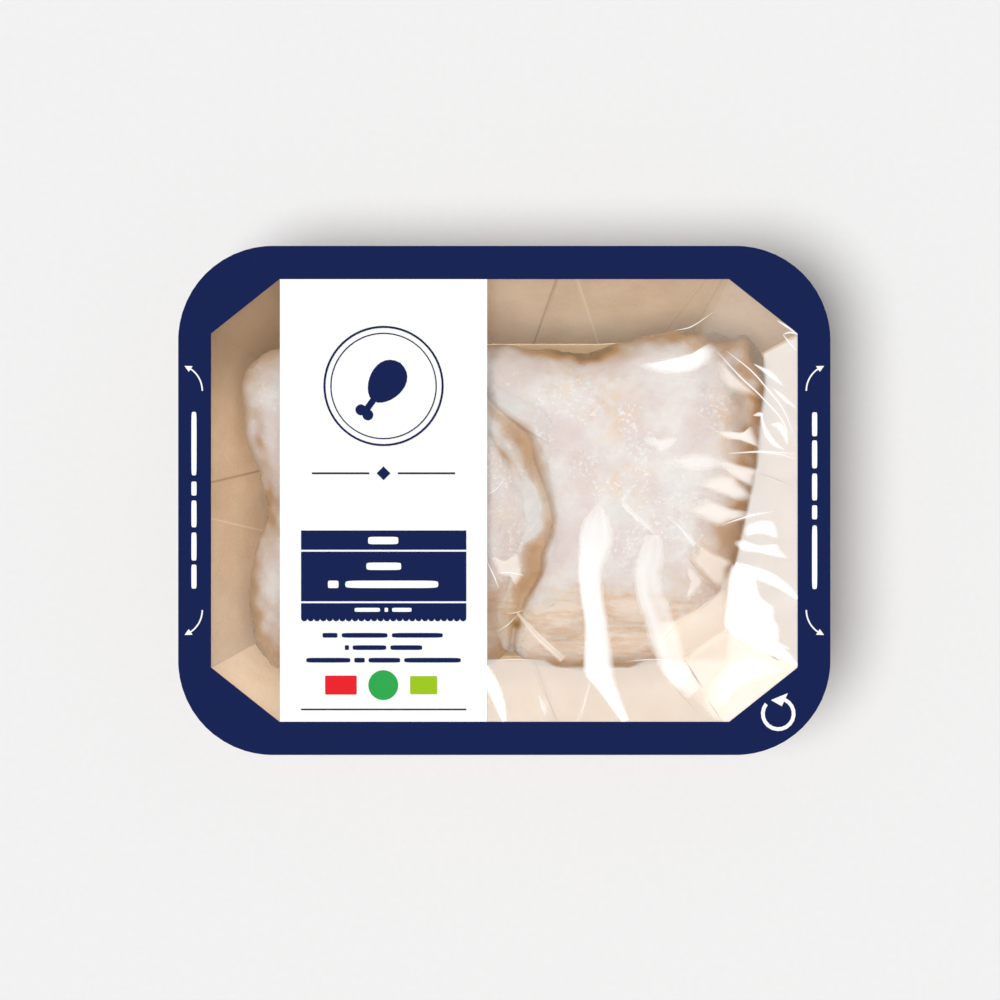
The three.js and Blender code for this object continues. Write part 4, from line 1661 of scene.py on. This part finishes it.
# Painted glints where it is pulled into long folds and thin lines, and painted shadow lines of creases
# and folds
FOLD_GLINTS_AND_SHADOWS = {
    "long_streak": Fold((
        (33.4, -1.0, 1.0, 0.3), (32.7, -7.0, 10.5, 0.75), (32.5, -13.3, 14.0, 0.85),
        (31.3, -18.2, 11.5, 0.9), (30.2, -25.2, 9.4, 0.95), (30.9, -33.9, 9.1, 0.96),
        (32.3, -42.7, 9.1, 0.97), (32.9, -51.4, 10.8, 0.97), (33.4, -58.7, 11.9, 0.97),
        (35.1, -62.9, 8.8, 0.97), (38.1, -68.9, 5.9, 0.97), (42.5, -77.2, 3.1, 0.97)), (0.3, 0.12)),
    "short_streak_start": Fold((
        (46.7, 6.2, 0.5, 0.2), (42.7, 2.4, 1.1, 0.35), (42.0, -1.2, 2.6, 0.42), (47.2, -6.6, 2.4, 0.42),
        (54.0, -12.6, 1.8, 0.35)), (0.3, 0.3)),
    "short_streak": Fold((
        (52.4, -12.2, 7.2, 0.45), (51.9, -17.0, 9.4, 0.6), (51.4, -21.3, 11.2, 0.7),
        (50.5, -25.5, 11.2, 0.72), (51.2, -32.5, 11.2, 0.7), (53.7, -39.5, 11.9, 0.66),
        (56.1, -47.9, 12.6, 0.62), (58.6, -55.9, 11.2, 0.62), (61.4, -61.2, 9.8, 0.62),
        (66.6, -67.1, 7.0, 0.55)), (0.3, 0.15)),
    "bulge_wing": Fold((
        (80.5, -22.8, 3.2, 0.93), (91.0, -26.5, 4.5, 0.95), (97.5, -30.0, 3.4, 0.95),
        (102.6, -34.3, 1.4, 0.95)), (0.1, 0.15)),
    "bulge_finger": Fold((
        (86.5, -46.5, 4.0, 0.85), (93.0, -49.2, 2.6, 0.85), (99.5, -51.8, 0.6, 0.8)), (0.15, 0.15)),
    "bulge_tip": Fold((
        (88.0, -49.5, 8.0, 0.9), (96.3, -53.2, 4.5, 0.92), (102.6, -57.6, 1.0, 0.85)), (0.1, 0.2)),
    "spike_high": Fold(((87.2, 47.7, 0.3, 0.9), (92.5, 44.4, 2.4, 0.92), (97.7, 39.9, 0.3, 0.9))),
    "spike_middle": Fold(((93.9, 39.2, 0.3, 0.9), (97.4, 36.0, 1.8, 0.92), (101.9, 32.2, 0.3, 0.9))),
    "spike_low": Fold(((93.5, 26.6, 0.7, 0.9), (96.7, 25.5, 3.1, 0.95), (99.1, 19.6, 0.3, 0.9))),
    "spike_bend": Fold((
        (89.8, 30.4, 1.0, 0.85), (90.9, 25.2, 1.8, 0.9), (93.9, 20.3, 2.4, 0.92),
        (97.7, 17.8, 0.3, 0.9))),
    "small_leaf": Fold(((86.9, 29.7, 0.3, 0.8), (89.0, 30.1, 2.1, 0.88), (90.4, 30.1, 1.0, 0.8))),
    "lower_tail": Fold((
        (-9, -57, 5.5, 0.9), (-6.4, -61, 5.8, 0.96), (-3.9, -65.5, 5.6, 0.96), (-1.7, -70.8, 4.6, 0.96),
        (-0.8, -74, 3.4, 0.96), (0, -77.3, 2, 0.9)), (0.2, 0.2)),
    "lower_nick": Fold(((11.7, -67.5, 0.3, 0.4), (13.5, -71.7, 2.1, 0.55), (14.5, -75.5, 0.7, 0.4))),
    "valley_band": Fold((
        (4.6, -39.4, 1.0, 0.5), (11.7, -47.5, 2.6, 0.6), (20.4, -55.6, 2.8, 0.6)), (0.15, 0.15), 0.3),
    "top_line": line((59.6, 59.4), (65.5, 60.8), (72.9, 65.7), width=0.5),
    "wall_line_long": line((74.3, 52.1), (82.3, 43.4), (89.7, 36.4), (97.4, 27.6), (99.3, 20.6)),
    "wall_line_outer": line((77.8, 52.1), (86.2, 45.4), (92.3, 38.5), (97.4, 32.0), (101.2, 23.1)),
    "across_line": line((78.3, 16.4), (89.3, 17.0), (101.9, 16.4), width=0.9),
    "across_line_low": line((89.7, 16.8), (96.3, 16.1), (102.3, 14.3), width=0.6),
    "corner_line_high": line((95.3, 62.9), (99.1, 60.5), (102.6, 58.0), width=1.1),
    "corner_line_middle": line((97.4, 58.0), (99.8, 58.7), (102.6, 58.0), width=0.9),
    "corner_line_low": line((97.4, 58.0), (99.8, 54.9), (102.3, 52.1), width=0.9),
    "shoulder_line": Fold((
        (55.3, -4.2, 0.3, 0.3), (61.0, -9.0, 1.2, 0.5), (66.6, -15.6, 2.6, 0.6)), (0.3, 0.3)),
    "side_line": line((75.7, -8.7), (84.8, -5.6), (94.2, -3.8), width=1.0),
    "foot_line": line((29.9, -64.0), (28.1, -70.6), (26.7, -76.9), width=0.5, milk=0.6),
    "star_line": line((-6.1, -21.3), (-3.7, -26.2), (-1.9, -30.8), width=0.6),
    "star_line_low": line((-2.6, -25.5), (1.9, -25.2), (6.8, -26.2), width=0.7),
    "left_line": line((-5.8, 2.4), (-3.0, 3.8), (0.2, 7.7), width=0.5),
    "left_line_low": line((0.2, -39.5), (3.7, -39.2), (7.5, -38.1), width=0.5, milk=0.7),
    "left_line_foot": line((-3.0, -46.1), (1.2, -43.4), (4.7, -39.9), width=0.5, milk=0.7),
    "tan_line": line((64.6, -20.7), (69.8, -26.5), (74.8, -31.2), width=1.3, milk=0.7, tint=0.8),
    "tan_line_low": line((55.5, -48.4), (60.2, -43.6), (68.9, -37.3), (74.6, -31.9), width=0.6,
                         milk=0.6, tint=0.6),
    "tan_line_side": line((75.2, -8.9), (80.3, -6.7), (84.7, -5.4), width=0.5, milk=0.9, tint=1.0),
    "grey_line": line((78.4, -45.3), (88.2, -51.4), (95.8, -55.8), width=0.4, milk=0.5, tint=-0.5),
    "grey_line_end": line((92.9, -54.3), (94.6, -55.2), (95.8, -55.8), width=0.6, milk=0.8, tint=-0.9),
    "grey_line_left": line((63.2, -55.9), (66.3, -60.9), (69.2, -65.8), width=0.7, milk=0.8, tint=-0.8),
    "grey_line_foot": line((71.1, -69.8), (73.6, -73.4), (75.8, -77), width=0.5, milk=0.8, tint=-0.7),
    "grey_line_high": line((66.6, -53.7), (72.4, -49.4), (78.1, -45.2), width=0.3, milk=0.5, tint=-0.4),
    "wall_crease": line((89.2, 9.4), (95, 7.4), (101.3, 5), width=0.4, milk=0.35, tint=1.0),
    "front_crease": line((9.7, -58.3), (14.4, -68), (18.7, -77), width=0.4, milk=0.3, tint=1.0),
    "front_crease_right": line((52.6, -58.4), (60.2, -66), (67.3, -74.1), width=0.4, milk=0.35,
                               tint=0.9),
    "floor_line_left": line((-6.1, -55.9), (3.7, -55.6), (12.4, -55.9), width=0.5, milk=0.8),
    "floor_line_right": line((42.5, -56.3), (50.9, -55.6), (62.8, -55.9), width=0.5, milk=0.8),
}


@dataclass
class LidFilm:
    """The clear window film, tight at the border, with folds pulled between the thighs and rim.

    An edge is a line of places, and a pair of numbers is where a smooth step starts and ends.
    The shares of glare are painted glare, white mixed into the film over the walls, which also
    lightens them.
    """

    half_x: float = 103.6
    half_y: float = 78.3
    level: float = 50.12
    dome: float = 0.1
    border_ease: float = 9.0
    corner_reach: float = 158.5
    corner_slope: float = 0.98
    corner_turn: float = 0.7
    label_right: tuple[float, float] = (-5.0, 8.0)
    label_left: tuple[float, float] = (-79.0, -92.0)
    slack: Ripple = Ripple(0.06, 16.0, 44.0, 7)
    crinkles: Ripple = Ripple(0.015, 5.0, 10.0, 8)
    columns: int = 330
    rows: int = 250
    haze: float = 0.01
    right_edge: tuple[tuple[float, float], ...] = (
        (-77, 76), (-52.4, 78.1), (-45.4, 78.5), (-31.5, 78.8), (-19.2, 81.6), (-2.8, 85.1),
        (12.2, 88.3), (28, 89.6), (40.2, 91.2), (51.7, 90.6), (78, 90.6))
    right_ease: tuple[float, float] = (-0.7, 0.7)
    right_end: tuple[float, float] = (91.4, 51.7)
    right_end_slope: float = 0.52
    right_end_ease: tuple[float, float] = (0.8, -0.8)
    # Shares of painted glare over the right and front walls, which also lightens them
    wall_glare: float = 0.66
    bottom_glare: float = 0.46
    front_edge: tuple[tuple[float, float], ...] = (
        (13.5, -55.7), (18.5, -58.2), (44, -58.2), (50, -55.7))
    front_ease: tuple[float, float] = (0.4, -0.5)
    front_start: tuple[float, float] = (-20.0, -6.0)
    # Shares of faint painted glare over the far wall, its right corner and the lower left wall
    far_glare: float = 0.07
    far_wall: tuple[float, float] = (52.0, 62.0)
    far_start: tuple[float, float] = (-6.0, 0.0)
    far_corner_glare: float = 0.10
    far_corner: tuple[float, float] = (62.0, 50.0)
    far_corner_slope: float = 0.55
    far_corner_ease: float = 4.0
    far_corner_low: float = 40.0
    left_glare: float = 0.07
    left_run: tuple[float, float] = (20.0, -60.0)
    left_edge: tuple[float, float] = (-78.0, -80.0)
    clouds: Ripple = Ripple(0.03, 10.0, 30.0, 9)
    fold_lift: float = 0.24
    fold_step: float = 0.002

    def surface(self, x: Array, y: Array) -> Array:
        """Height of the film: a low dome over each thigh, slack waves, and flat at the border.

        Args:
            x: First coordinate.
            y: Second coordinate.

        Returns:
            Heights in millimetres.
        """
        ease, away_x, away_y = self.border_ease, np.abs(x), np.abs(y)
        border = smooth(0.0, ease, WINDOW_X - away_x) * smooth(0.0, ease, WINDOW_Y - away_y)
        cut = (self.corner_reach - away_x - self.corner_slope * away_y) * self.corner_turn
        clear_of_label = smooth(*self.label_right, x) + smooth(*self.label_left, x)
        slack = self.slack.at(x, y) + self.crinkles.at(x, y)
        return self.level + (self.dome + slack) * border * smooth(0.0, ease, cut) * clear_of_label

    def wall_painted_glare(self, x: Array, y: Array) -> Array:
        """Painted glare over the right wall, from an edge that follows the thigh, and over the front
        one.

        Args:
            x: First coordinate.
            y: Second coordinate.

        Returns:
            Shares of milk.
        """
        right_edge, front_edge = np.array(self.right_edge), np.array(self.front_edge)
        right = smooth(*self.right_ease, x - np.interp(y, right_edge[:, 0], right_edge[:, 1]))
        end_x, end_y = self.right_end
        below = smooth(*self.right_end_ease, y - end_y - self.right_end_slope * (x - end_x))
        front = smooth(*self.front_ease, y - np.interp(x, front_edge[:, 0], front_edge[:, 1]))
        started = smooth(*self.front_start, x)
        return np.maximum(self.wall_glare * right * below, self.bottom_glare * front * started)

    def faint_painted_glare(self, x: Array, y: Array) -> Array:
        """Faint painted glare over the far wall, the far right corner and the lower left wall, which
        lightens them.

        Args:
            x: First coordinate.
            y: Second coordinate.

        Returns:
            Shares of milk.
        """
        corner_x, corner_y = self.far_corner
        into_corner = x - corner_x - self.far_corner_slope * (y - corner_y)
        corner = smooth(0.0, self.far_corner_ease, into_corner) * (y > self.far_corner_low)
        far = self.far_glare * smooth(*self.far_wall, y) + self.far_corner_glare * corner
        left = self.left_glare * smooth(*self.left_run, y) * smooth(*self.left_edge, x)
        return far * smooth(*self.far_start, x) + left

    def painted_glare(self, x: Array, y: Array) -> Array:
        """Share of painted glare on the film, a little cloudy."""
        milk = np.maximum(self.wall_painted_glare(x, y), self.faint_painted_glare(x, y))
        return milk * (1.0 + self.clouds.at(x, y))

    def build_sheet(self, material: bpy.types.Material) -> None:
        """Makes the film as one thin sheet over the window.

        Args:
            material: Its finish.
        """
        x, y = np.meshgrid(np.linspace(-self.half_x, self.half_x, self.columns),
                           np.linspace(-self.half_y, self.half_y, self.rows))
        points = np.stack([x, y, self.surface(x, y)], axis=-1).reshape(-1, 3)
        piece = make_piece("window_film", points, [grid_quads(self.rows, self.columns, False)])
        # A faint haze plus the painted glare
        paint(piece, "milk", self.haze + self.painted_glare(x, y))
        paint(piece, "tint", np.zeros_like(x))
        settle(piece, "clear_film", material, "lid_film")

    def build_folds(self, material: bpy.types.Material) -> None:
        """Makes the painted glints and shadow lines of the folds, each a flat ribbon just over the
        sheet and the one before it.

        Args:
            material: Their finish.
        """
        points: list[Array] = []
        faces: list[Array] = []
        haze_and_glares: list[Array] = []
        glint_and_shadow_tints: list[Array] = []
        count = 0
        for number, fold in enumerate([*GLARE_PATCHES.values(), *FOLD_GLINTS_AND_SHADOWS.values()]):
            places, milk, blocks = fold.mesh()
            points.append(at_height(places, self.level + self.fold_lift + self.fold_step * number))
            faces += [block + count for block in blocks]
            haze_and_glares.append(milk)
            glint_and_shadow_tints.append(np.full(len(milk), fold.tint))
            count += len(milk)
        piece = make_piece("film_folds", np.vstack(points), faces)
        paint(piece, "milk", np.clip(np.concatenate(haze_and_glares), 0.0, 1.0))
        paint(piece, "tint", np.concatenate(glint_and_shadow_tints))
        piece.visible_shadow = False
        settle(piece, "clear_film", material, "lid_film")

    def build(self) -> None:
        """Makes the sheet with its painted glare, and its painted fold glints."""
        self.build_sheet(Film("film_clear", glossy=True).build())
        self.build_folds(Film("film_milky", glossy=False).build())


# Print on the film


@dataclass
class Border:
    """The navy frame round the window, from the rim's round outline to the window's octagon.

    Its face has rows at shares of the way inwards, and its edges are a little lower.
    """

    tray: Tray
    inset: float = 0.06
    cut_x: float = 23.9
    cut_y: float = 19.0
    facet: float = 4.0
    shares: tuple[float, ...] = (0.0, 0.02, 0.5, 0.98, 1.0)
    drops: tuple[float, ...] = (0.06, 0.0, 0.0, 0.0, 0.05)

    def window(self) -> Array:
        """The window's octagon on the tray's columns.

        Returns:
            Points of shape (columns, 2).
        """
        mouth = self.tray.mouth
        octagon = Level(half_x=WINDOW_X, half_y=WINDOW_Y, cut_x=self.cut_x, cut_y=self.cut_y,
                        end_gusset=mouth.end_gusset, side_facet=WINDOW_X - self.cut_x - self.facet,
                        side_gusset=mouth.side_gusset, push=0.0)
        return self.tray.spread(octagon.ring(0.0))[0]

    def build(self) -> None:
        """Makes the frame as a thin closed ring."""
        outer, inner = self.tray.rim_row(self.inset, 0.0)[:, :2], self.window()
        ring = [at_height(outer + (inner - outer) * share, PRINT_HIGH - drop)
                for share, drop in zip(self.shares, self.drops)]
        ring += [at_height(row, PRINT_LOW) for row in (inner, outer)]
        count, columns = len(ring), len(outer)
        first = np.arange(columns)
        last = first + (count - 1) * columns
        seam = np.stack([last, np.roll(last, -1), np.roll(first, -1), first], axis=1)
        faces = [grid_quads(count, columns, True), seam]
        piece = make_piece("border_print", np.vstack(ring), faces, False)
        settle(piece, Print.NAVY.slot, Print.NAVY.material(), "print_border")


@dataclass
class Label:
    """The white band, and the dashes on it and on the border."""

    left: float = -78.4
    right: float = -6.0
    half_y: float = 77.3
    columns: int = 90
    rows: int = 180
    mark: float = 0.2
    thin_mark: float = 0.1

    def build_band(self) -> None:
        """The white band: a thin closed sheet."""
        columns, rows = self.columns, self.rows
        x, y = np.meshgrid(np.linspace(self.left, self.right, columns),
                           np.linspace(-self.half_y, self.half_y, rows))
        flat = np.stack([x, y], axis=-1).reshape(-1, 2)
        quads = grid_quads(rows, columns, False)
        number = np.arange(rows * columns).reshape(rows, columns)
        edge = np.concatenate([number[0, :], number[1:, -1], number[-1, -2::-1], number[-2:0:-1, 0]])
        following = np.roll(edge, -1)
        under = rows * columns
        sides = np.stack([edge + under, following + under, following, edge], axis=1)
        points = np.vstack([at_height(flat, PRINT_HIGH), at_height(flat, PRINT_LOW)])
        piece = make_piece("label_print", points, [quads, quads[:, ::-1] + under, sides], False)
        settle(piece, Print.WHITE.slot, Print.WHITE.material(), "label_band")

    def build_words(self) -> None:
        """Rounded dashes where lines of print run: navy on the band, white on title and border."""
        for name, row in ROWS.items():
            on_title, on_border = name.startswith("title"), name.startswith("side")
            ink = Print.WHITE if on_title or on_border else Print.NAVY
            low = PRINT_HIGH + (self.mark if on_title else 0.0)
            high = low + (self.thin_mark if on_title else self.mark)
            piece = bars(name.replace("row", "words"), row.boxes(on_border), low, high)
            settle(piece, ink.slot, ink.material(), *([name] if name in frame["nodes"] else []))


@dataclass(frozen=True)
class Row:
    """Dashes in a line: its place across, half its height, and where each dash starts and ends."""

    place: float
    half: float
    spans: tuple[tuple[float, float], ...]

    def boxes(self, upright: bool) -> Array:
        """Each dash as a box.

        Args:
            upright: Whether the line runs along y.

        Returns:
            Middle x, middle y, half length and half height of each, of shape (dashes, 4).
        """
        ends = np.array(self.spans)
        middle, reach = ends.mean(axis=1), np.diff(ends, axis=1)[:, 0] / 2.0
        place, half = np.full(len(ends), self.place), np.full(len(ends), self.half)
        columns = [place, middle, half, reach] if upright else [middle, place, reach, half]
        return np.stack(columns, axis=1)


SIDE_SPANS = ((-30.8, -22.4), (-21.0, -11.2), (-9.4, 0.0), (1.7, 6.6), (8.7, 31.0))
ROWS = {
    "text_row_1": Row(-47.1, 0.8, ((-63.5, -58.3), (-56.8, -40.8), (-39.3, -21.5))),
    "text_row_2": Row(-51.4, 0.8, ((-55.7, -54.3), (-53.0, -41.3), (-39.8, -28.7))),
    "text_row_3": Row(-55.8, 0.8, ((-69.2, -53.8), (-52.4, -48.8), (-47.4, -36.4), (-35.0, -15.2))),
    "side_row_left": Row(-108.4, 0.9, SIDE_SPANS),
    "side_row_right": Row(108.4, 0.9, tuple((-high, -low) for low, high in SIDE_SPANS)),
    "title_row_upper": Row(-14.0, 1.3, ((-47.6, -37.0),)),
    "title_row_middle": Row(-23.0, 1.3, ((-48.2, -36.0),)),
    "title_row_lower": Row(-29.3, 1.3, ((-61.6, -57.9), (-55.6, -23.0))),
    "title_row_edge": Row(-38.2, 0.7, ((-52.3, -43.4), (-41.8, -40.6), (-39.2, -32.4))),
}


def bars(name: str, boxes: Array, low: float, high: float, corners: int = 20,
         power: float = 0.3) -> bpy.types.Object:
    """Rounded bars as closed plates.

    An outline is the superellipse x = a sgn(cos) |cos|^e, y = b sgn(sin) |sin|^e.

    Args:
        name: Name of the piece.
        boxes: Middle x, middle y, half length and half height of each, shape (count, 4).
        low: Height of the plates' underside.
        high: Height of their face.
        corners: Number of points of an outline.
        power: The outline's power e.

    Returns:
        The new object.
    """
    angle = np.arange(corners) * 2.0 * math.pi / corners
    unit = np.stack([np.cos(angle), np.sin(angle)], axis=1)
    unit = np.sign(unit) * np.abs(unit) ** power
    flat = (boxes[:, None, :2] + unit[None] * boxes[:, None, 2:]).reshape(-1, 2)
    plates = [at_height(flat, z).reshape(-1, corners, 3) for z in (low, high)]
    points = np.stack(plates, axis=1).reshape(-1, 3)
    ring = np.arange(len(boxes))[:, None] * 2 * corners + np.arange(corners)
    following = np.roll(ring, -1, 1)
    sides = np.stack([ring, following, following + corners, ring + corners], axis=-1).reshape(-1, 4)
    return make_piece(name, points, [sides, ring + corners, ring[:, ::-1]], False)


# Stage


@dataclass(frozen=True)
class Sun:
    """Parallel soft light on one set of pieces.

    The strength is the light that a level white surface sends back, from 0 to 1.
    """

    name: str
    azimuth: float
    elevation: float
    spread: float
    strength: float
    shadow: bool = True

    def build(self, lit: bpy.types.Collection) -> None:
        """Makes the light.

        Args:
            lit: The pieces that it falls on.
        """
        turn, climb = math.radians(self.azimuth), math.radians(self.elevation)
        level = math.cos(climb)
        data = bpy.data.lights.new(self.name, "SUN")
        data.angle = math.radians(self.spread)
        data.energy = self.strength * math.pi / math.sin(climb)
        data.use_shadow = self.shadow
        lamp = bpy.data.objects.new(self.name, data)
        source = Vector((math.cos(turn) * level, math.sin(turn) * level, math.sin(climb)))
        lamp.rotation_mode = "QUATERNION"
        lamp.rotation_quaternion = (-source).to_track_quat("-Z", "Y")
        lamp.location = source
        lamp.visible_glossy = False
        lamp.light_linking.receiver_collection = lit
        bpy.context.scene.collection.objects.link(lamp)


@dataclass(frozen=True)
class Panel:
    """A square level soft box over the pack, which only matte surfaces reflect."""

    name: str
    radiance: float
    side: float = 3.0
    height: float = 1.4

    def build(self, lit: bpy.types.Collection) -> None:
        """Makes the panel, facing down.

        Args:
            lit: The pieces that it falls on.
        """
        data = bpy.data.lights.new(self.name, "AREA")
        data.shape = "SQUARE"
        data.size = self.side
        data.energy = self.radiance * math.pi * self.side * self.side
        lamp = bpy.data.objects.new(self.name, data)
        lamp.location = (0.0, 0.0, self.height)
        lamp.visible_glossy = False
        lamp.visible_camera = False
        lamp.light_linking.receiver_collection = lit
        bpy.context.scene.collection.objects.link(lamp)


# Each group of pieces, with the lights that fall on it alone
LIGHTS = {
    "print_parts": (Sun("key", 135.0, 52.0, 24.0, 0.42), Panel("dome", 0.72)),
    "thigh_parts": (Sun("thigh_key", 135.0, 52.0, 24.0, 0.29), Panel("thigh_dome", 1.58)),
    "tray_parts": (Sun("tray_key", 118.0, 48.0, 24.0, 0.62, False),
                   Sun("tray_fill", -55.0, 40.0, 24.0, 0.15, False), Panel("tray_dome", 2.3)),
    "floor_parts": (Sun("floor_light", 205.0, 71.0, 34.0, 0.76), Panel("floor_dome", 0.06)),
}


@dataclass
class Studio:
    """Pale floor, soft light and the camera straight above the pack."""

    photo_width: float = 0.3496
    camera_rise: float = 0.800
    rim_height: float = 0.050
    middle: tuple[float, float] = (-0.0015, 0.00015)
    sensor: float = 36.0
    sky: float = 0.2
    floor_half: float = 4000.0
    floor_tones: tuple[str, str] = ("f1f1f1", "f5f5f5")
    floor_grain: Pattern = Pattern(400.0, 2.0, 0.5)
    inner: tuple[str, ...] = ("thigh", "valley")

    def build_camera(self) -> None:
        """A camera that sees the photo's width at the rim."""
        data = bpy.data.cameras.new("camera")
        data.sensor_width = self.sensor
        data.lens = self.sensor * self.camera_rise / self.photo_width
        camera = bpy.data.objects.new("camera", data)
        camera.location = (*self.middle, self.rim_height + self.camera_rise)
        bpy.context.scene.collection.objects.link(camera)
        bpy.context.scene.camera = camera

    def build_floor(self) -> bpy.types.Object:
        """A wide pale floor with a faint grain.

        Returns:
            The floor.
        """
        corners = np.array([(-1, -1, 0), (1, -1, 0), (1, 1, 0), (-1, 1, 0)], float)
        floor = make_piece("floor", self.floor_half * corners, [np.array([[0, 1, 2, 3]])], False)
        graph = Graph("floor_paper")
        tone = graph.blend(graph.noise(self.floor_grain), *(colour(code) for code in self.floor_tones))
        paper = graph.surface(Base_Color=tone, Roughness=0.9, Specular_IOR_Level=0.1)
        floor.data.materials.append(paper)
        floor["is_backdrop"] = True
        return floor

    def build_light(self, floor: bpy.types.Object) -> None:
        """White sky light, and a key and a soft box for each group of pieces.

        Args:
            floor: The floor.
        """
        world = bpy.data.worlds.new("sky")
        world.use_nodes = True
        sky = world.node_tree.nodes["Background"]
        sky.inputs["Color"].default_value = (1.0, 1.0, 1.0, 1.0)
        sky.inputs["Strength"].default_value = self.sky
        bpy.context.scene.world = world
        meats = [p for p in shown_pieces() if any(word in p.name for word in self.inner)]
        boards = [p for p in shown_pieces() if "tray" in p.name]
        others = [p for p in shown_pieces() if p not in meats + boards]
        groups = [self.gather(*group) for group in zip(LIGHTS, (others, meats, boards, [floor]))]
        for group, lights in zip(groups, LIGHTS.values()):
            for light in lights:
                light.build(group)

    def gather(self, name: str, pieces: Sequence[bpy.types.Object]) -> bpy.types.Collection:
        """A collection of pieces for a light to fall on.

        Args:
            name: Name of the collection.
            pieces: Its pieces.

        Returns:
            The collection.
        """
        group = bpy.data.collections.new(name)
        for piece in pieces:
            group.objects.link(piece)
        return group


def dress_marks() -> None:
    """Gives the print marks that stay as solids their inks."""
    inks = {ink.slot: ink for ink in Print}
    replaced = {"tray", "thigh_left", "thigh_right", "lid_film", "print_border", "label_band", *ROWS}
    for row in frame["record"]["subparts"]:
        if row["node"] in replaced:
            continue
        node = frame["nodes"][row["node"]]
        node.data.materials.clear()
        node.data.materials.append(inks[row["material_slot"]].material())
        log.info("%s: solid kept, %s", row["node"], row["material_slot"])


def main() -> None:
    """Builds the pack from the tray outwards, then the stage."""
    logging.basicConfig(level=logging.INFO, format="%(name)s: %(message)s")
    tray = Tray()
    tray.build()
    left, right = left_thigh(tray), right_thigh(tray)
    left.build()
    right.build()
    ValleyFold(left, right).build()
    LidFilm().build()
    Border(tray).build()
    label = Label()
    label.build_band()
    label.build_words()
    dress_marks()
    studio = Studio()
    studio.build_camera()
    floor = studio.build_floor()
    studio.build_light(floor)
    bpy.context.scene.view_settings.view_transform = "Standard"


if __name__ == "__main__":
    main()
